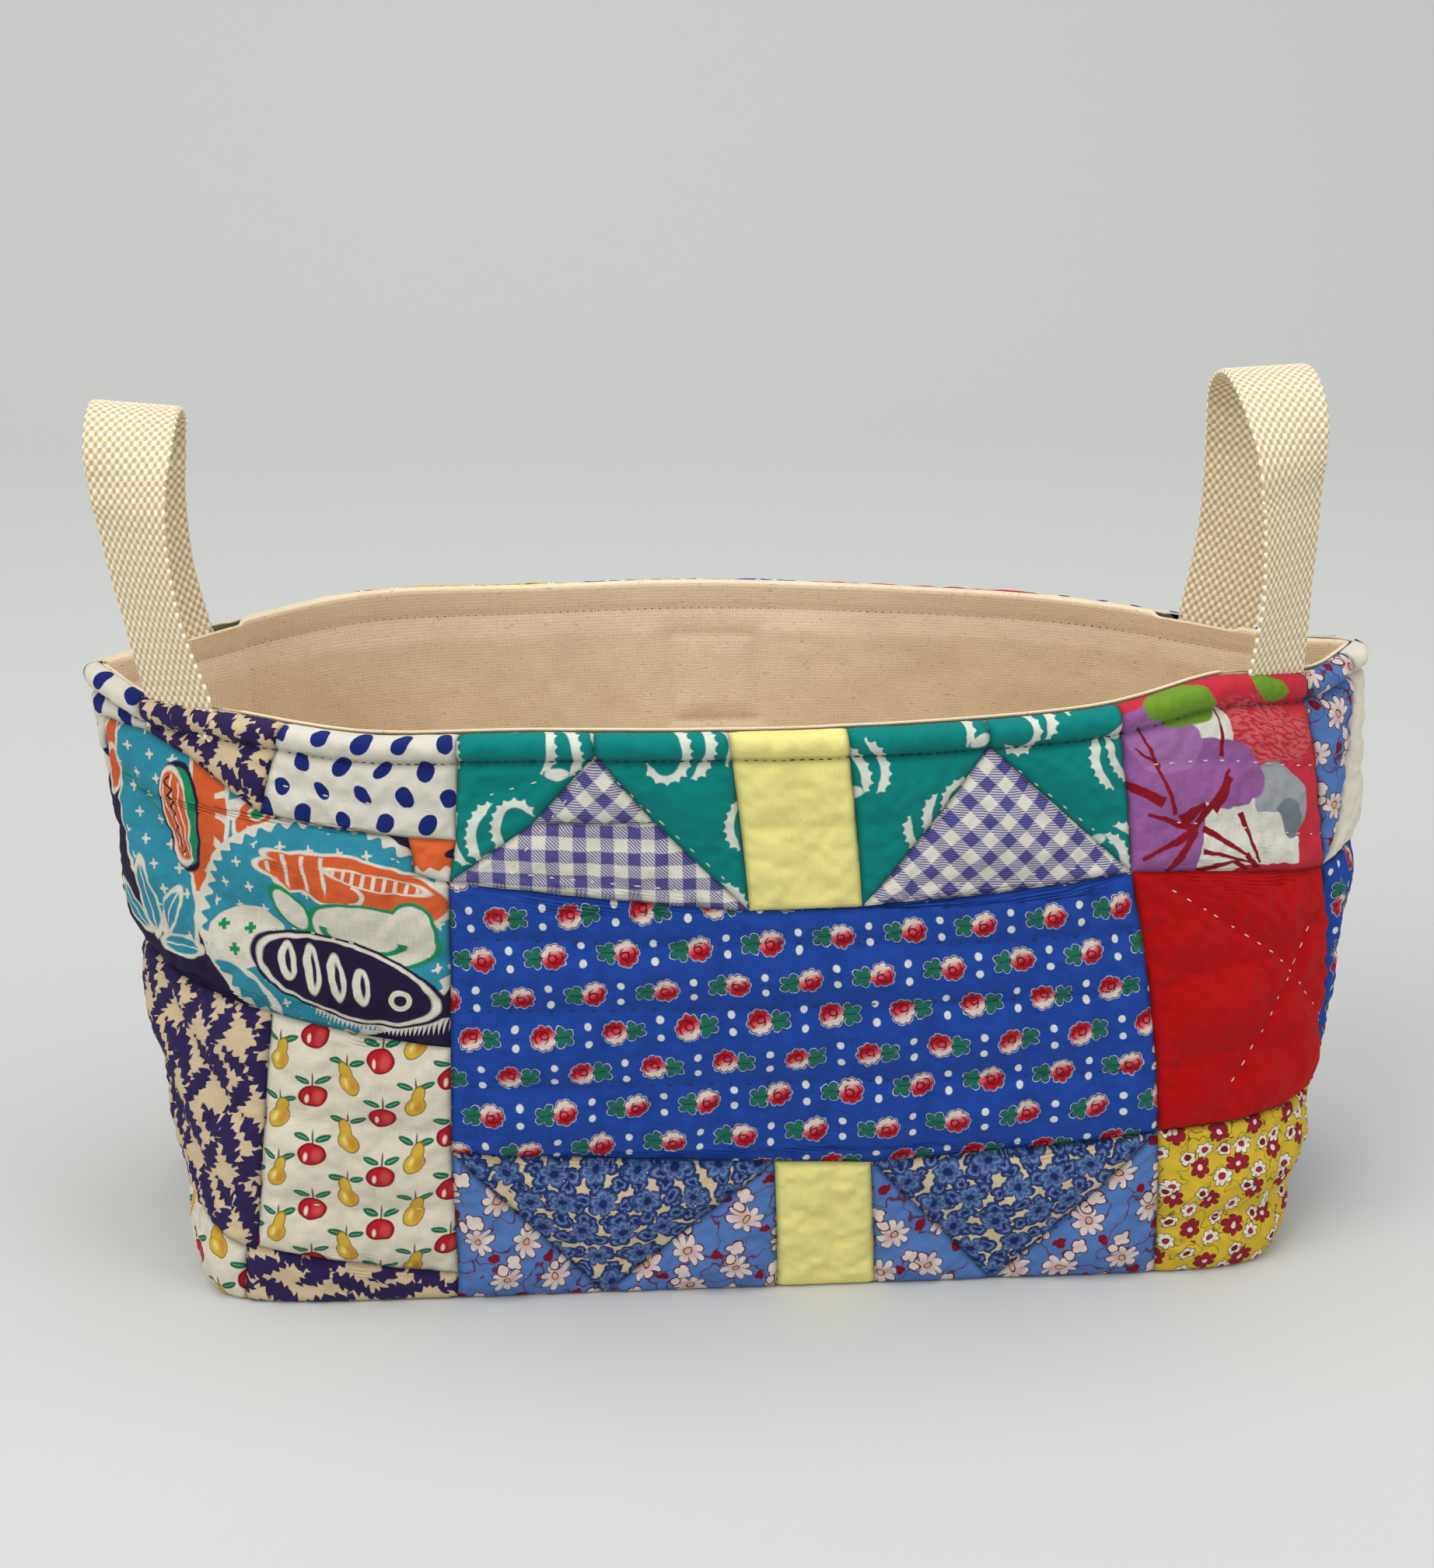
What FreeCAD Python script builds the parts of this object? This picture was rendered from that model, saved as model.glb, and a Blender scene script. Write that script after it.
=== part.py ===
"""Quilted sewing basket: a soft bin cut from a patchwork quilt, lined with cotton duck,
with a webbing loop handle sewn into the rim at each end.

Frame: +X along the basket, +Y to the back, +Z up, origin under the middle of the base.
Millimetres.  Every height and width comes from the sheet "sizes".
"""
import FreeCAD, Part
import math
import os
from FreeCAD import Placement, Rotation, Vector

DRIVING_SIZES = [
    # alias, value, what it is
    ("base_half_width", 162.0, "outer skin at the floor, half its length along X"),
    ("base_half_depth", 65.0, "outer skin at the floor, half its depth along Y"),
    ("rim_half_width", 190.0, "outer skin at the rim, half its length along X"),
    ("rim_half_depth", 70.0, "outer skin at the rim, half its depth along Y"),
    ("rim_height", 178.0, "rim in the middle of the front and back"),
    ("rim_crown", 4.0, "how much lower the rim is at its two ends"),
    ("belly", 4.0, "how far the long walls swell half way up"),
    ("mid_drift", 4.5, "how far the soft walls stand over towards +X half way up"),
    ("flare_power", 1.7, "how early the ends open out above the floor"),
    ("base_long_power", 12.0, "outline power along X at the floor: nearly a rectangle"),
    ("rim_long_power", 2.0, "outline power along X at the rim: a lens"),
    ("base_short_power", 9.0, "outline power along Y at the floor"),
    ("rim_short_power", 1.3, "outline power along Y at the rim"),
    ("patch_thickness", 0.9, "one pieced patch with its seam allowances"),
    ("batting_thickness", 3.5, "cotton batting inside the quilt"),
    ("backing_thickness", 0.5, "muslin back of the quilt"),
    ("lining_thickness", 1.0, "cotton duck lining"),
    ("ply_gap", 0.2, "space left between two layers"),
    ("base_panel_thickness", 1.0, "bottom panel of the outside"),
    ("seam_allowance", 8.0, "rim to its line of topstitching"),
    ("thread_width", 0.6, "topstitching thread"),
    ("label_side", 32.0, "blank square patch on the outside of the back"),
    ("label_centre_x", -4.0, "middle of the square patch along X"),
    ("label_centre_z", 148.0, "middle of the square patch above the floor"),
    ("label_thickness", 0.8, "the square patch's cloth"),
    ("strap_width", 25.4, "handle webbing"),
    ("strap_thickness", 1.9, "handle webbing"),
    ("left_station", 166.0, "left handle's sewn ends from the middle of the basket, at the skin"),
    ("right_station", 154.5, "right handle's sewn ends from the middle of the basket, at the skin"),
    ("strap_depth", 3.25, "how deep the sewn ends sit under the outer skin"),
    ("tail_length", 25.0, "handle webbing sewn down inside the rim"),
    ("hinge_lift", 14.2, "height over the rim where a handle starts to bend"),
    ("handle_rise", 70.5, "top of a handle above its bend"),
    ("left_lean", 7.0, "how far the left handle stands outwards, degrees"),
    ("right_lean", 3.0, "how far the right handle stands outwards, degrees"),
]

doc = FreeCAD.newDocument("sewing_basket")
sheet = doc.addObject("Spreadsheet::Sheet", "sizes")
for row, (alias, value, meaning) in enumerate(DRIVING_SIZES, start=1):
    sheet.set(f"A{row}", str(value))
    sheet.set(f"B{row}", meaning)
    sheet.setAlias(f"A{row}", alias)
doc.recompute()


def size(alias):
    """The value of one cell of the sheet."""
    return float(sheet.get(alias))


RIM_HEIGHT = size("rim_height")
RIM_REACH = size("rim_half_width") + 20.0      # past the wall, for cutting blocks
DEPTH_REACH = size("rim_half_depth") + 30.0    # past the wall, for cutting blocks

# Layers, as depths under the outer skin.
SKIN = (0.0, size("patch_thickness"))
BATTING = (SKIN[1] + size("ply_gap"), SKIN[1] + size("ply_gap") + size("batting_thickness"))
BACKING = (BATTING[1] + size("ply_gap"), BATTING[1] + size("ply_gap") + size("backing_thickness"))
LINING = (BACKING[1] + size("ply_gap"), BACKING[1] + size("ply_gap") + size("lining_thickness"))
WALL_FOOT = size("base_panel_thickness") + size("ply_gap")
LINING_FOOT = WALL_FOOT + size("batting_thickness") + size("ply_gap")

SUBPARTS = []     # the document objects that become files, in the order they are sewn


def keep(feature, label):
    """Name a finished sub-part and put it on the list that is exported."""
    feature.Label = label
    SUBPARTS.append(feature)
    return feature


# ---------------------------------------------------------------- the outline of the walls
def outline_terms(level):
    """Half width, half depth and the two powers of |x/a|^p + |y/b|^q = 1 at a level.

    The level is 0 at the floor and 1 at the rim.  The half width opens quickly above the
    floor and slows towards the rim, the half depth changes evenly and swells in between,
    and the reciprocals of the powers change evenly.
    """
    opened = 1.0 - max(0.0, 1.0 - level) ** size("flare_power")
    half_width = size("base_half_width") + (size("rim_half_width") - size("base_half_width")) * opened
    half_depth = size("base_half_depth") + (size("rim_half_depth") - size("base_half_depth")) * level
    half_depth += size("belly") * math.sin(math.pi * min(level, 1.0))
    base_x, rim_x = 1 / size("base_long_power"), 1 / size("rim_long_power")
    base_y, rim_y = 1 / size("base_short_power"), 1 / size("rim_short_power")
    power_x = 1 / (base_x + (rim_x - base_x) * level)
    power_y = 1 / (base_y + (rim_y - base_y) * level)
    return half_width, half_depth, power_x, power_y


def drift(level):
    """How far the whole outline stands over towards +X at a level."""
    return size("mid_drift") * math.sin(math.pi * min(level, 1.0))


def outline_points(level, inset, count):
    """Points at even distances round the outline, starting at the +X end."""
    half_width, half_depth, power_x, power_y = outline_terms(level)
    half_width -= inset
    half_depth -= inset
    dense = []
    steps = 4000
    for step in range(steps + 1):
        angle = 2 * math.pi * step / steps
        cosine, sine = math.cos(angle), math.sin(angle)
        dense.append((drift(level) + half_width * math.copysign(abs(cosine) ** (2 / power_x), cosine),
                      half_depth * math.copysign(abs(sine) ** (2 / power_y), sine)))
    lengths = [0.0]
    for before, after in zip(dense, dense[1:]):
        lengths.append(lengths[-1] + math.dist(before, after))
    points, at = [], 0
    for index in range(count):
        wanted = lengths[-1] * index / count
        while lengths[at + 1] < wanted:
            at += 1
        share = (wanted - lengths[at]) / (lengths[at + 1] - lengths[at])
        points.append(tuple(dense[at][axis] + share * (dense[at + 1][axis] - dense[at][axis])
                            for axis in (0, 1)))
    return points


LEVELS = (0.0, 0.08, 0.2, 0.38, 0.58, 0.78, 0.92, 1.02)
POINTS_ROUND = 96


def form(label, inset):
    """A solid with the outside shape of one layer, from the floor to just over the rim."""
    sections = []
    for level in LEVELS:
        height = level * RIM_HEIGHT
        points = [Vector(x, y, height) for x, y in outline_points(level, inset, POINTS_ROUND)]
        curve = Part.BSplineCurve()
        even = [index / POINTS_ROUND for index in range(POINTS_ROUND + 1)]
        curve.interpolate(Points=points, PeriodicFlag=True, Parameters=even)
        sections.append(Part.Wire([curve.toShape()]))
    feature = doc.addObject("Part::Feature", label)
    feature.Shape = Part.makeLoft(sections, True, False)
    return feature


def crowned_block(label, foot, top):
    """A block right across the basket whose top follows the rim's gentle crown.

    Its profile is a sketch in the X-Z plane: three straight sides and an arc, whose radius
    comes from the crown over the rim's half width.
    """
    reach, drop_at_rim = size("rim_half_width"), size("rim_crown")
    radius = (reach ** 2 + drop_at_rim ** 2) / (2 * drop_at_rim)
    side = top - (radius - math.sqrt(radius ** 2 - RIM_REACH ** 2))
    sketch = doc.addObject("Sketcher::SketchObject", label + "_profile")
    sketch.Placement = Placement(Vector(0, 0, 0), Rotation(Vector(1, 0, 0), 90))
    corners = [Vector(-RIM_REACH, foot, 0), Vector(RIM_REACH, foot, 0),
               Vector(RIM_REACH, side, 0), Vector(-RIM_REACH, side, 0)]
    sketch.addGeometry(Part.LineSegment(corners[0], corners[1]))
    sketch.addGeometry(Part.LineSegment(corners[1], corners[2]))
    sketch.addGeometry(Part.Arc(corners[2], Vector(0, top, 0), corners[3]))
    sketch.addGeometry(Part.LineSegment(corners[3], corners[0]))
    block = doc.addObject("Part::Extrusion", label)
    block.Base = sketch
    block.DirMode = "Normal"
    block.Solid = True
    block.setExpression("LengthFwd", "sizes.rim_half_depth + 30")
    block.setExpression("LengthRev", "sizes.rim_half_depth + 30")
    return block


def boolean(kind, label, base, tool):
    """A Part::Cut or Part::Common of two document objects."""
    feature = doc.addObject(kind, label)
    feature.Base = base
    feature.Tool = tool
    return feature


def half_block(label, side):
    """A block over the front half (side -1) or the back half (side +1) of the basket."""
    block = doc.addObject("Part::Box", label)
    block.setExpression("Length", "2 * (sizes.rim_half_width + 20)")
    block.setExpression("Width", "sizes.rim_half_depth + 30")
    block.setExpression("Height", "sizes.rim_height + 20")
    low_y = 0.0 if side > 0 else -DEPTH_REACH
    block.Placement = Placement(Vector(-RIM_REACH, low_y, -10.0), Rotation())
    return block


front_half = half_block("front_half", -1)
back_half = half_block("back_half", 1)


def layer_tube(label, layer, foot, top):
    """One layer of the wall all the way round: its outer form less its inner form, trimmed."""
    tube = boolean("Part::Cut", label + "_tube", form(label + "_outer", layer[0]),
                   form(label + "_inner", layer[1]))
    return boolean("Part::Common", label + "_wall", tube, crowned_block(label + "_trim", foot, top))


skin_wall = layer_tube("skin", SKIN, WALL_FOOT, RIM_HEIGHT)
batting_wall = layer_tube("batting", BATTING, WALL_FOOT, RIM_HEIGHT - 1.2)
backing_wall = layer_tube("backing", BACKING, LINING_FOOT, RIM_HEIGHT - 1.2)
lining_wall = layer_tube("lining", LINING, LINING_FOOT, RIM_HEIGHT + 0.6)


# ---------------------------------------------------------------- the base, from the floor up
def base_plate(label, inset, foot, thickness_alias):
    """A flat layer of the base with the floor outline, moved in by an inset."""
    points = [Vector(x, y, foot) for x, y in outline_points(0.0, inset, POINTS_ROUND)]
    curve = Part.BSplineCurve()
    curve.interpolate(Points=points, PeriodicFlag=True)
    outline = doc.addObject("Part::Feature", label + "_outline")
    outline.Shape = Part.Wire([curve.toShape()])
    plate = doc.addObject("Part::Extrusion", label)
    plate.Base = outline
    plate.DirMode = "Custom"
    plate.Dir = Vector(0, 0, 1)
    plate.Solid = True
    plate.setExpression("LengthFwd", "sizes." + thickness_alias)
    return keep(plate, label)


CURVE_CLEARANCE = 0.4     # plates inside a curved wall stand off this much
base_plate("base_panel", CURVE_CLEARANCE, 0.0, "base_panel_thickness")
base_plate("base_batting", BATTING[1] + CURVE_CLEARANCE, WALL_FOOT, "batting_thickness")
base_plate("base_lining", LINING[1] + CURVE_CLEARANCE, LINING_FOOT, "lining_thickness")


# ---------------------------------------------------------------- the handles' sewn ends
STATIONS = {-1: "left_station", 1: "right_station"}


def strap_seat(side, face, height):
    """Where the middle of a handle leg lies at a height inside the wall, and the wall's run.

    side is -1 at the left end and +1 at the right, face is -1 at the front and +1 at the
    back.  The place is the strap's depth under the skin, and the run is the unit vector
    along the skin, level, towards +X.
    """
    half_width, half_depth, power_x, power_y = outline_terms(height / RIM_HEIGHT)

    def depth_at(station):
        share = (station - side * drift(height / RIM_HEIGHT)) / half_width
        return half_depth * (1 - share ** power_x) ** (1 / power_y)

    station = size(STATIONS[side])
    slope = (depth_at(station + 4.0) - depth_at(station - 4.0)) / 8.0
    inward = Vector(-slope, 1, 0).normalize() * size("strap_depth")
    place = Vector(side * (station - inward.x), face * (depth_at(station) - inward.y), height)
    run = Vector(1, slope * side * face, 0).normalize()
    return place, run


def rim_at(station):
    """Height of the crowned rim at a distance from the middle of the basket."""
    return RIM_HEIGHT - size("rim_crown") * (station / size("rim_half_width")) ** 2


POCKET_CLEARANCE = 0.3


def tail_top(side):
    """Height of the top of a handle's sewn ends, just under the rim."""
    return rim_at(size(STATIONS[side])) - 1.0


def tail_box(label, side, face, clearance):
    """A block the size of one sewn strap end, grown by a clearance all round."""
    top, run = strap_seat(side, face, tail_top(side))
    foot, _ = strap_seat(side, face, tail_top(side) - size("tail_length"))
    upward = (top - foot).normalize()
    across = upward.cross(run).normalize()
    turn = Rotation(upward.cross(across) * -1, across, upward, "ZYX")
    box = doc.addObject("Part::Box", label)
    box.setExpression("Length", f"sizes.strap_width + {2 * clearance}")
    box.setExpression("Width", f"sizes.strap_thickness + {2 * clearance}")
    box.setExpression("Height", f"sizes.tail_length + {2 * clearance}")
    corner = Vector(-size("strap_width") / 2 - clearance, -size("strap_thickness") / 2 - clearance,
                    -size("tail_length") - clearance)
    box.Placement = Placement(top + turn.multVec(corner), turn)
    return box


pockets = doc.addObject("Part::Compound", "tail_pockets")
pockets.Links = [tail_box(f"pocket_{side}_{face}", side, face, POCKET_CLEARANCE)
                 for side in (-1, 1) for face in (-1, 1)]

batting_pocketed = boolean("Part::Cut", "batting_pocketed", batting_wall, pockets)
backing_pocketed = boolean("Part::Cut", "backing_pocketed", backing_wall, pockets)
for label, wall in (("batting", batting_pocketed), ("backing", backing_pocketed), ("lining", lining_wall)):
    for name, half in (("front", front_half), ("back", back_half)):
        keep(boolean("Part::Common", f"{name}_{label}", wall, half), f"{name}_{label}")

for side, name in ((-1, "left"), (1, "right")):
    tails = doc.addObject("Part::Compound", f"{name}_handle_tails")
    tails.Links = [tail_box(f"{name}_tail_{face}", side, face, 0.0) for face in (-1, 1)]
    keep(tails, f"{name}_handle_tails")


# ---------------------------------------------------------------- the pieced patches
SEAM_ROUND = 208.5     # from the middle of a wall to its side seam, round the wall
HALF_ROUND = 213.0     # past the side seams, measured round the wall from its middle
RIM = RIM_HEIGHT + 5.0
FLOOR = 0.0

# Corners of the front's piecing: distance round the wall from the middle, height.
F = {
    "rim_left": (-HALF_ROUND, RIM), "rim_a": (-184, RIM), "rim_b": (-134, RIM), "rim_c": (-82, RIM),
    "rim_d": (-44, RIM), "rim_e": (-7, RIM), "rim_f": (26, RIM), "rim_g": (66, RIM),
    "rim_h": (107, RIM), "rim_i": (175, RIM), "rim_j": (196, RIM), "rim_right": (HALF_ROUND, RIM),
    "tip_a": (-HALF_ROUND, 118), "tip_b": (-205, 130), "tip_c": (-201, 164), "strip_0": (-182, 168),
    "strip_a": (-166, 163), "strip_b": (-142, 150),
    "polka_low": (-84, 147), "scrap_a": (-97.5, 147.7), "scrap_b": (-96, 137),
    "paisley_a": (-HALF_ROUND, 96), "paisley_b": (-192, 97), "paisley_c": (-138.5, 91),
    "paisley_d": (-87, 84), "fruit_a": (-141, 18), "fruit_b": (-83.5, 9),
    "corner_a": (-HALF_ROUND, 38), "corner_b": (-144.5, 17),
    "floor_left": (-HALF_ROUND, FLOOR), "floor_a": (-144, FLOOR), "floor_b": (-83.5, FLOOR),
    "apex_a": (-44, 172), "cut_a": (-62.5, 152), "cut_b": (-29, 152), "apex_b": (66, 171),
    "panel_a": (-86.5, 134.5), "panel_b": (-4.5, 125), "panel_c": (26.5, 125.5), "panel_d": (104, 130),
    "panel_e": (112, 48.5), "panel_f": (30.5, 43), "panel_g": (3.5, 44), "panel_h": (-86.5, 50),
    "floor_c": (-41.5, FLOOR), "floor_d": (8, FLOOR), "floor_e": (36, FLOOR), "floor_f": (70, FLOOR),
    "floor_g": (117.5, FLOOR), "floor_h": (186, FLOOR), "floor_right": (HALF_ROUND, FLOOR),
    "end_a": (174.5, 118), "end_b": (HALF_ROUND, 119), "end_c": (178.5, 49), "end_d": (HALF_ROUND, 44),
    "end_e": (184, 126), "end_f": (199, 166),
}
FRONT_PATCHES = {
    "polka_dot_tip_patch": "rim_left rim_a strip_0 tip_c tip_b tip_a",
    "zigzag_rim_patch": "rim_a rim_b strip_b strip_a strip_0",
    "polka_dot_patch": "rim_b rim_c polka_low scrap_a strip_b",
    "paisley_patch": ("tip_a tip_b tip_c strip_0 strip_a strip_b scrap_a scrap_b panel_a"
                      " paisley_d paisley_c paisley_b paisley_a"),
    "orange_scrap_patch": "scrap_a polka_low panel_a scrap_b",
    "zigzag_left_patch": "paisley_a paisley_b paisley_c fruit_a corner_b corner_a",
    "fruit_patch": "paisley_c paisley_d panel_h fruit_b fruit_a",
    "fruit_corner_patch": "corner_a corner_b floor_a floor_left",
    "zigzag_foot_patch": "corner_b fruit_a fruit_b floor_b floor_a",
    "teal_patch_1": "rim_c rim_d apex_a cut_a panel_a polka_low",
    "teal_patch_2": "rim_d rim_e panel_b cut_b apex_a",
    "teal_patch_3": "rim_f rim_g apex_b panel_c",
    "teal_patch_4": "rim_g rim_h panel_d apex_b",
    "gingham_tip_patch": "apex_a cut_b cut_a",
    "gingham_left_patch": "cut_a cut_b panel_b panel_a",
    "gingham_right_patch": "apex_b panel_d panel_c",
    "yellow_upper_patch": "rim_e rim_f panel_c panel_b",
    "rose_panel_patch": "panel_a panel_b panel_c panel_d panel_e panel_f panel_g panel_h paisley_d",
    "calico_left_patch": "panel_h panel_g floor_c",
    "calico_right_patch": "panel_f panel_e floor_f",
    "daisy_patch_1": "panel_h floor_c floor_b fruit_b",
    "daisy_patch_2": "panel_g floor_d floor_c",
    "daisy_patch_3": "panel_f floor_f floor_e",
    "daisy_patch_4": "panel_e floor_g floor_f",
    "yellow_lower_patch": "panel_g panel_f floor_e floor_d",
    "big_flower_patch": "rim_h rim_i end_a panel_d",
    "red_patch": "panel_d end_a end_c panel_e",
    "yellow_daisy_patch": "panel_e end_c floor_h floor_g",
    "daisy_end_patch": "rim_i rim_j end_f end_e end_a",
    "cream_end_patch": "rim_j rim_right end_b end_a end_e end_f",
    "rose_end_patch": "end_a end_b end_d end_c",
    "calico_end_patch": "end_c end_d floor_right floor_h",
}

# Corners of the back's piecing, measured the same way, from the middle towards +X.
B = {
    "rim_a": (-HALF_ROUND, RIM), "rim_b": (-120, RIM), "rim_c": (-46, RIM), "rim_d": (28, RIM),
    "rim_e": (104, RIM), "rim_f": (HALF_ROUND, RIM),
    "mid_a": (-HALF_ROUND, 96), "mid_b": (-122, 98), "mid_c": (-48, 101), "mid_d": (30, 99),
    "mid_e": (106, 97), "mid_f": (HALF_ROUND, 99),
    "floor_a": (-HALF_ROUND, FLOOR), "floor_b": (-118, FLOOR), "floor_c": (-44, FLOOR),
    "floor_d": (31, FLOOR), "floor_e": (105, FLOOR), "floor_f": (HALF_ROUND, FLOOR),
}
BACK_PATCHES = {
    "back_cream_patch": "rim_a rim_b mid_b mid_a",
    "back_yellow_daisy_patch": "rim_b rim_c mid_c mid_b",
    "back_rose_patch": "rim_c rim_d mid_d mid_c",
    "back_big_flower_patch": "rim_d rim_e mid_e mid_d",
    "back_polka_dot_patch": "rim_e rim_f mid_f mid_e",
    "back_zigzag_patch": "mid_a mid_b floor_b floor_a",
    "back_gingham_patch": "mid_b mid_c floor_c floor_b",
    "back_red_patch": "mid_c mid_d floor_d floor_c",
    "back_teal_patch": "mid_d mid_e floor_e floor_d",
    "back_calico_patch": "mid_e mid_f floor_f floor_e",
}


def station_of(round_distance, height):
    """The X of a point of the wall from its distance round the wall and its height.

    The distance is measured at the rim.  Lower down the same share of the way round counts.
    """
    level = min(max(height / RIM_HEIGHT, 0.0), 1.0)
    half_width, half_depth, power_x, power_y = outline_terms(level)
    if abs(round_distance) > SEAM_ROUND:
        return drift(level) + math.copysign(half_width + 10.0, round_distance)
    steps, line = 2000, [(0.0, half_depth, 0.0)]
    for step in range(1, steps + 1):
        angle = math.pi / 2 * step / steps
        x = half_width * math.sin(angle) ** (2 / power_x)
        y = half_depth * max(math.cos(angle), 0.0) ** (2 / power_y)
        line.append((x, y, line[-1][2] + math.dist(line[-1][:2], (x, y))))
    wanted = abs(round_distance) / SEAM_ROUND * line[-1][2]
    x = next(point[0] for point in line if point[2] >= wanted - 1e-9)
    return drift(level) + math.copysign(x, round_distance)


def patch(label, corners, skin_half):
    """A patch: the part of the skin inside an outline, which is carried through along Y."""
    points = []
    for round_distance, height in corners:
        low = height if height > FLOOR else -5.0
        points.append(Vector(station_of(round_distance, height), 0, low))
    outline = doc.addObject("Part::Feature", label + "_outline")
    outline.Shape = Part.makePolygon(points + points[:1])
    block = doc.addObject("Part::Extrusion", label + "_block")
    block.Base = outline
    block.DirMode = "Custom"
    block.Dir = Vector(0, 1, 0)
    block.Solid = True
    block.setExpression("LengthFwd", "sizes.rim_half_depth + 30")
    block.setExpression("LengthRev", "sizes.rim_half_depth + 30")
    return keep(boolean("Part::Common", label, skin_half, block), label)


front_skin = boolean("Part::Common", "front_skin", skin_wall, front_half)
back_skin = boolean("Part::Common", "back_skin", skin_wall, back_half)
for label, names in FRONT_PATCHES.items():
    patch(label, [F[name] for name in names.split()], front_skin)
for label, names in BACK_PATCHES.items():
    patch(label, [B[name] for name in names.split()], back_skin)


# ---------------------------------------------------------------- threads and the square patch
def thread_band(label, layer):
    """A line of stitching round the rim, at the seam allowance below its edge."""
    band = boolean("Part::Cut", label + "_band", form(label + "_outer", layer[0]),
                   form(label + "_inner", layer[1]))
    upper = crowned_block(label + "_upper", RIM_HEIGHT - 40.0,
                          RIM_HEIGHT - size("seam_allowance") + size("thread_width") / 2)
    lower = crowned_block(label + "_lower", RIM_HEIGHT - 50.0,
                          RIM_HEIGHT - size("seam_allowance") - size("thread_width") / 2)
    trimmed = boolean("Part::Common", label + "_trimmed", band, upper)
    return boolean("Part::Cut", label, trimmed, lower)


THREAD_GAP = 0.1
topstitch = doc.addObject("Part::Compound", "rim_topstitch")
topstitch.Links = [
    thread_band("outer_stitch", (-THREAD_GAP - size("thread_width"), -THREAD_GAP)),
    thread_band("inner_stitch", (LINING[1] + THREAD_GAP, LINING[1] + THREAD_GAP + size("thread_width"))),
]
keep(topstitch, "rim_topstitch")


def square_block(label, side_length):
    """A square bar along Y at the place of the square patch."""
    block = doc.addObject("Part::Box", label)
    block.Length = side_length
    block.Height = side_length
    block.setExpression("Width", "sizes.rim_half_depth + 30")
    block.Placement = Placement(Vector(size("label_centre_x") - side_length / 2, 0.0,
                                       size("label_centre_z") - side_length / 2), Rotation())
    return block


label_shell = boolean("Part::Cut", "label_shell",
                      form("label_outer", -THREAD_GAP - size("label_thickness")),
                      form("label_inner", -THREAD_GAP))
keep(boolean("Part::Common", "square_patch", label_shell,
             square_block("square_patch_block", size("label_side"))), "square_patch")

square_frame = boolean("Part::Cut", "square_frame",
                       square_block("square_frame_block", size("label_side") - 4.0),
                       square_block("square_frame_hole", size("label_side") - 4.0 - 2 * size("thread_width")))
square_shell = boolean("Part::Cut", "square_shell",
                       form("square_stitch_outer", LINING[1] + THREAD_GAP),
                       form("square_stitch_inner", LINING[1] + THREAD_GAP + size("thread_width")))
keep(boolean("Part::Common", "square_patch_stitching", square_shell, square_frame),
     "square_patch_stitching")


# ---------------------------------------------------------------- the loop handles
def handle(label, side, lean):
    """A webbing loop: an upside-down U in the Y-Z plane, padded to the strap's width.

    The sketch's origin is the line the loop bends about.  The lower ends are rounded about
    that line, so that the loop clears the rim at every angle.
    """
    body = doc.addObject("PartDesign::Body", label)
    plane = next(item for item in body.Origin.OriginFeatures if item.Role == "YZ_Plane")
    sketch = body.newObject("Sketcher::SketchObject", label + "_profile")
    sketch.AttachmentSupport = [(plane, "")]
    sketch.MapMode = "FlatFace"
    half, foot = size("strap_thickness") / 2, -size("strap_width") / 2
    seat, _ = strap_seat(side, 1, tail_top(side))
    outer, inner = seat.y + half, seat.y - half
    rise = size("handle_rise") - outer
    lines = [
        Part.LineSegment(Vector(outer, foot, 0), Vector(outer, rise, 0)),
        Part.Arc(Vector(outer, rise, 0), Vector(0, rise + outer, 0), Vector(-outer, rise, 0)),
        Part.LineSegment(Vector(-outer, rise, 0), Vector(-outer, foot, 0)),
        Part.LineSegment(Vector(-outer, foot, 0), Vector(-inner, foot, 0)),
        Part.LineSegment(Vector(-inner, foot, 0), Vector(-inner, rise, 0)),
        Part.Arc(Vector(-inner, rise, 0), Vector(0, rise + inner, 0), Vector(inner, rise, 0)),
        Part.LineSegment(Vector(inner, rise, 0), Vector(inner, foot, 0)),
        Part.LineSegment(Vector(inner, foot, 0), Vector(outer, foot, 0)),
    ]
    for line in lines:
        sketch.addGeometry(line)
    doc.recompute()
    pad = body.newObject("PartDesign::Pad", label + "_pad")
    pad.Profile = sketch
    pad.Midplane = True
    pad.setExpression("Length", "sizes.strap_width")
    doc.recompute()
    ends = []
    for index, edge in enumerate(pad.Shape.Edges, start=1):
        along_y = edge.BoundBox.YLength > 1.0 and edge.BoundBox.XLength + edge.BoundBox.ZLength < 0.01
        if along_y and edge.BoundBox.ZMax < foot + 0.01:
            ends.append(f"Edge{index}")
    rounding = body.newObject("PartDesign::Fillet", label + "_round_ends")
    rounding.Base = (pad, ends)
    rounding.setExpression("Radius", "sizes.strap_width / 2 - 0.05")
    body.Tip = rounding
    tilt = Rotation(Vector(0, 1, 0), side * lean)
    bend = Vector(seat.x, 0, rim_at(size(STATIONS[side])) + size("hinge_lift"))
    print(f"{label} bends about x {bend.x:.2f}, z {bend.z:.2f}; its legs are at y {seat.y:.2f}")
    body.Placement = Placement(bend, tilt)
    return keep(body, label)


handle("left_handle_webbing", -1, size("left_lean"))
handle("right_handle_webbing", 1, size("right_lean"))


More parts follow.
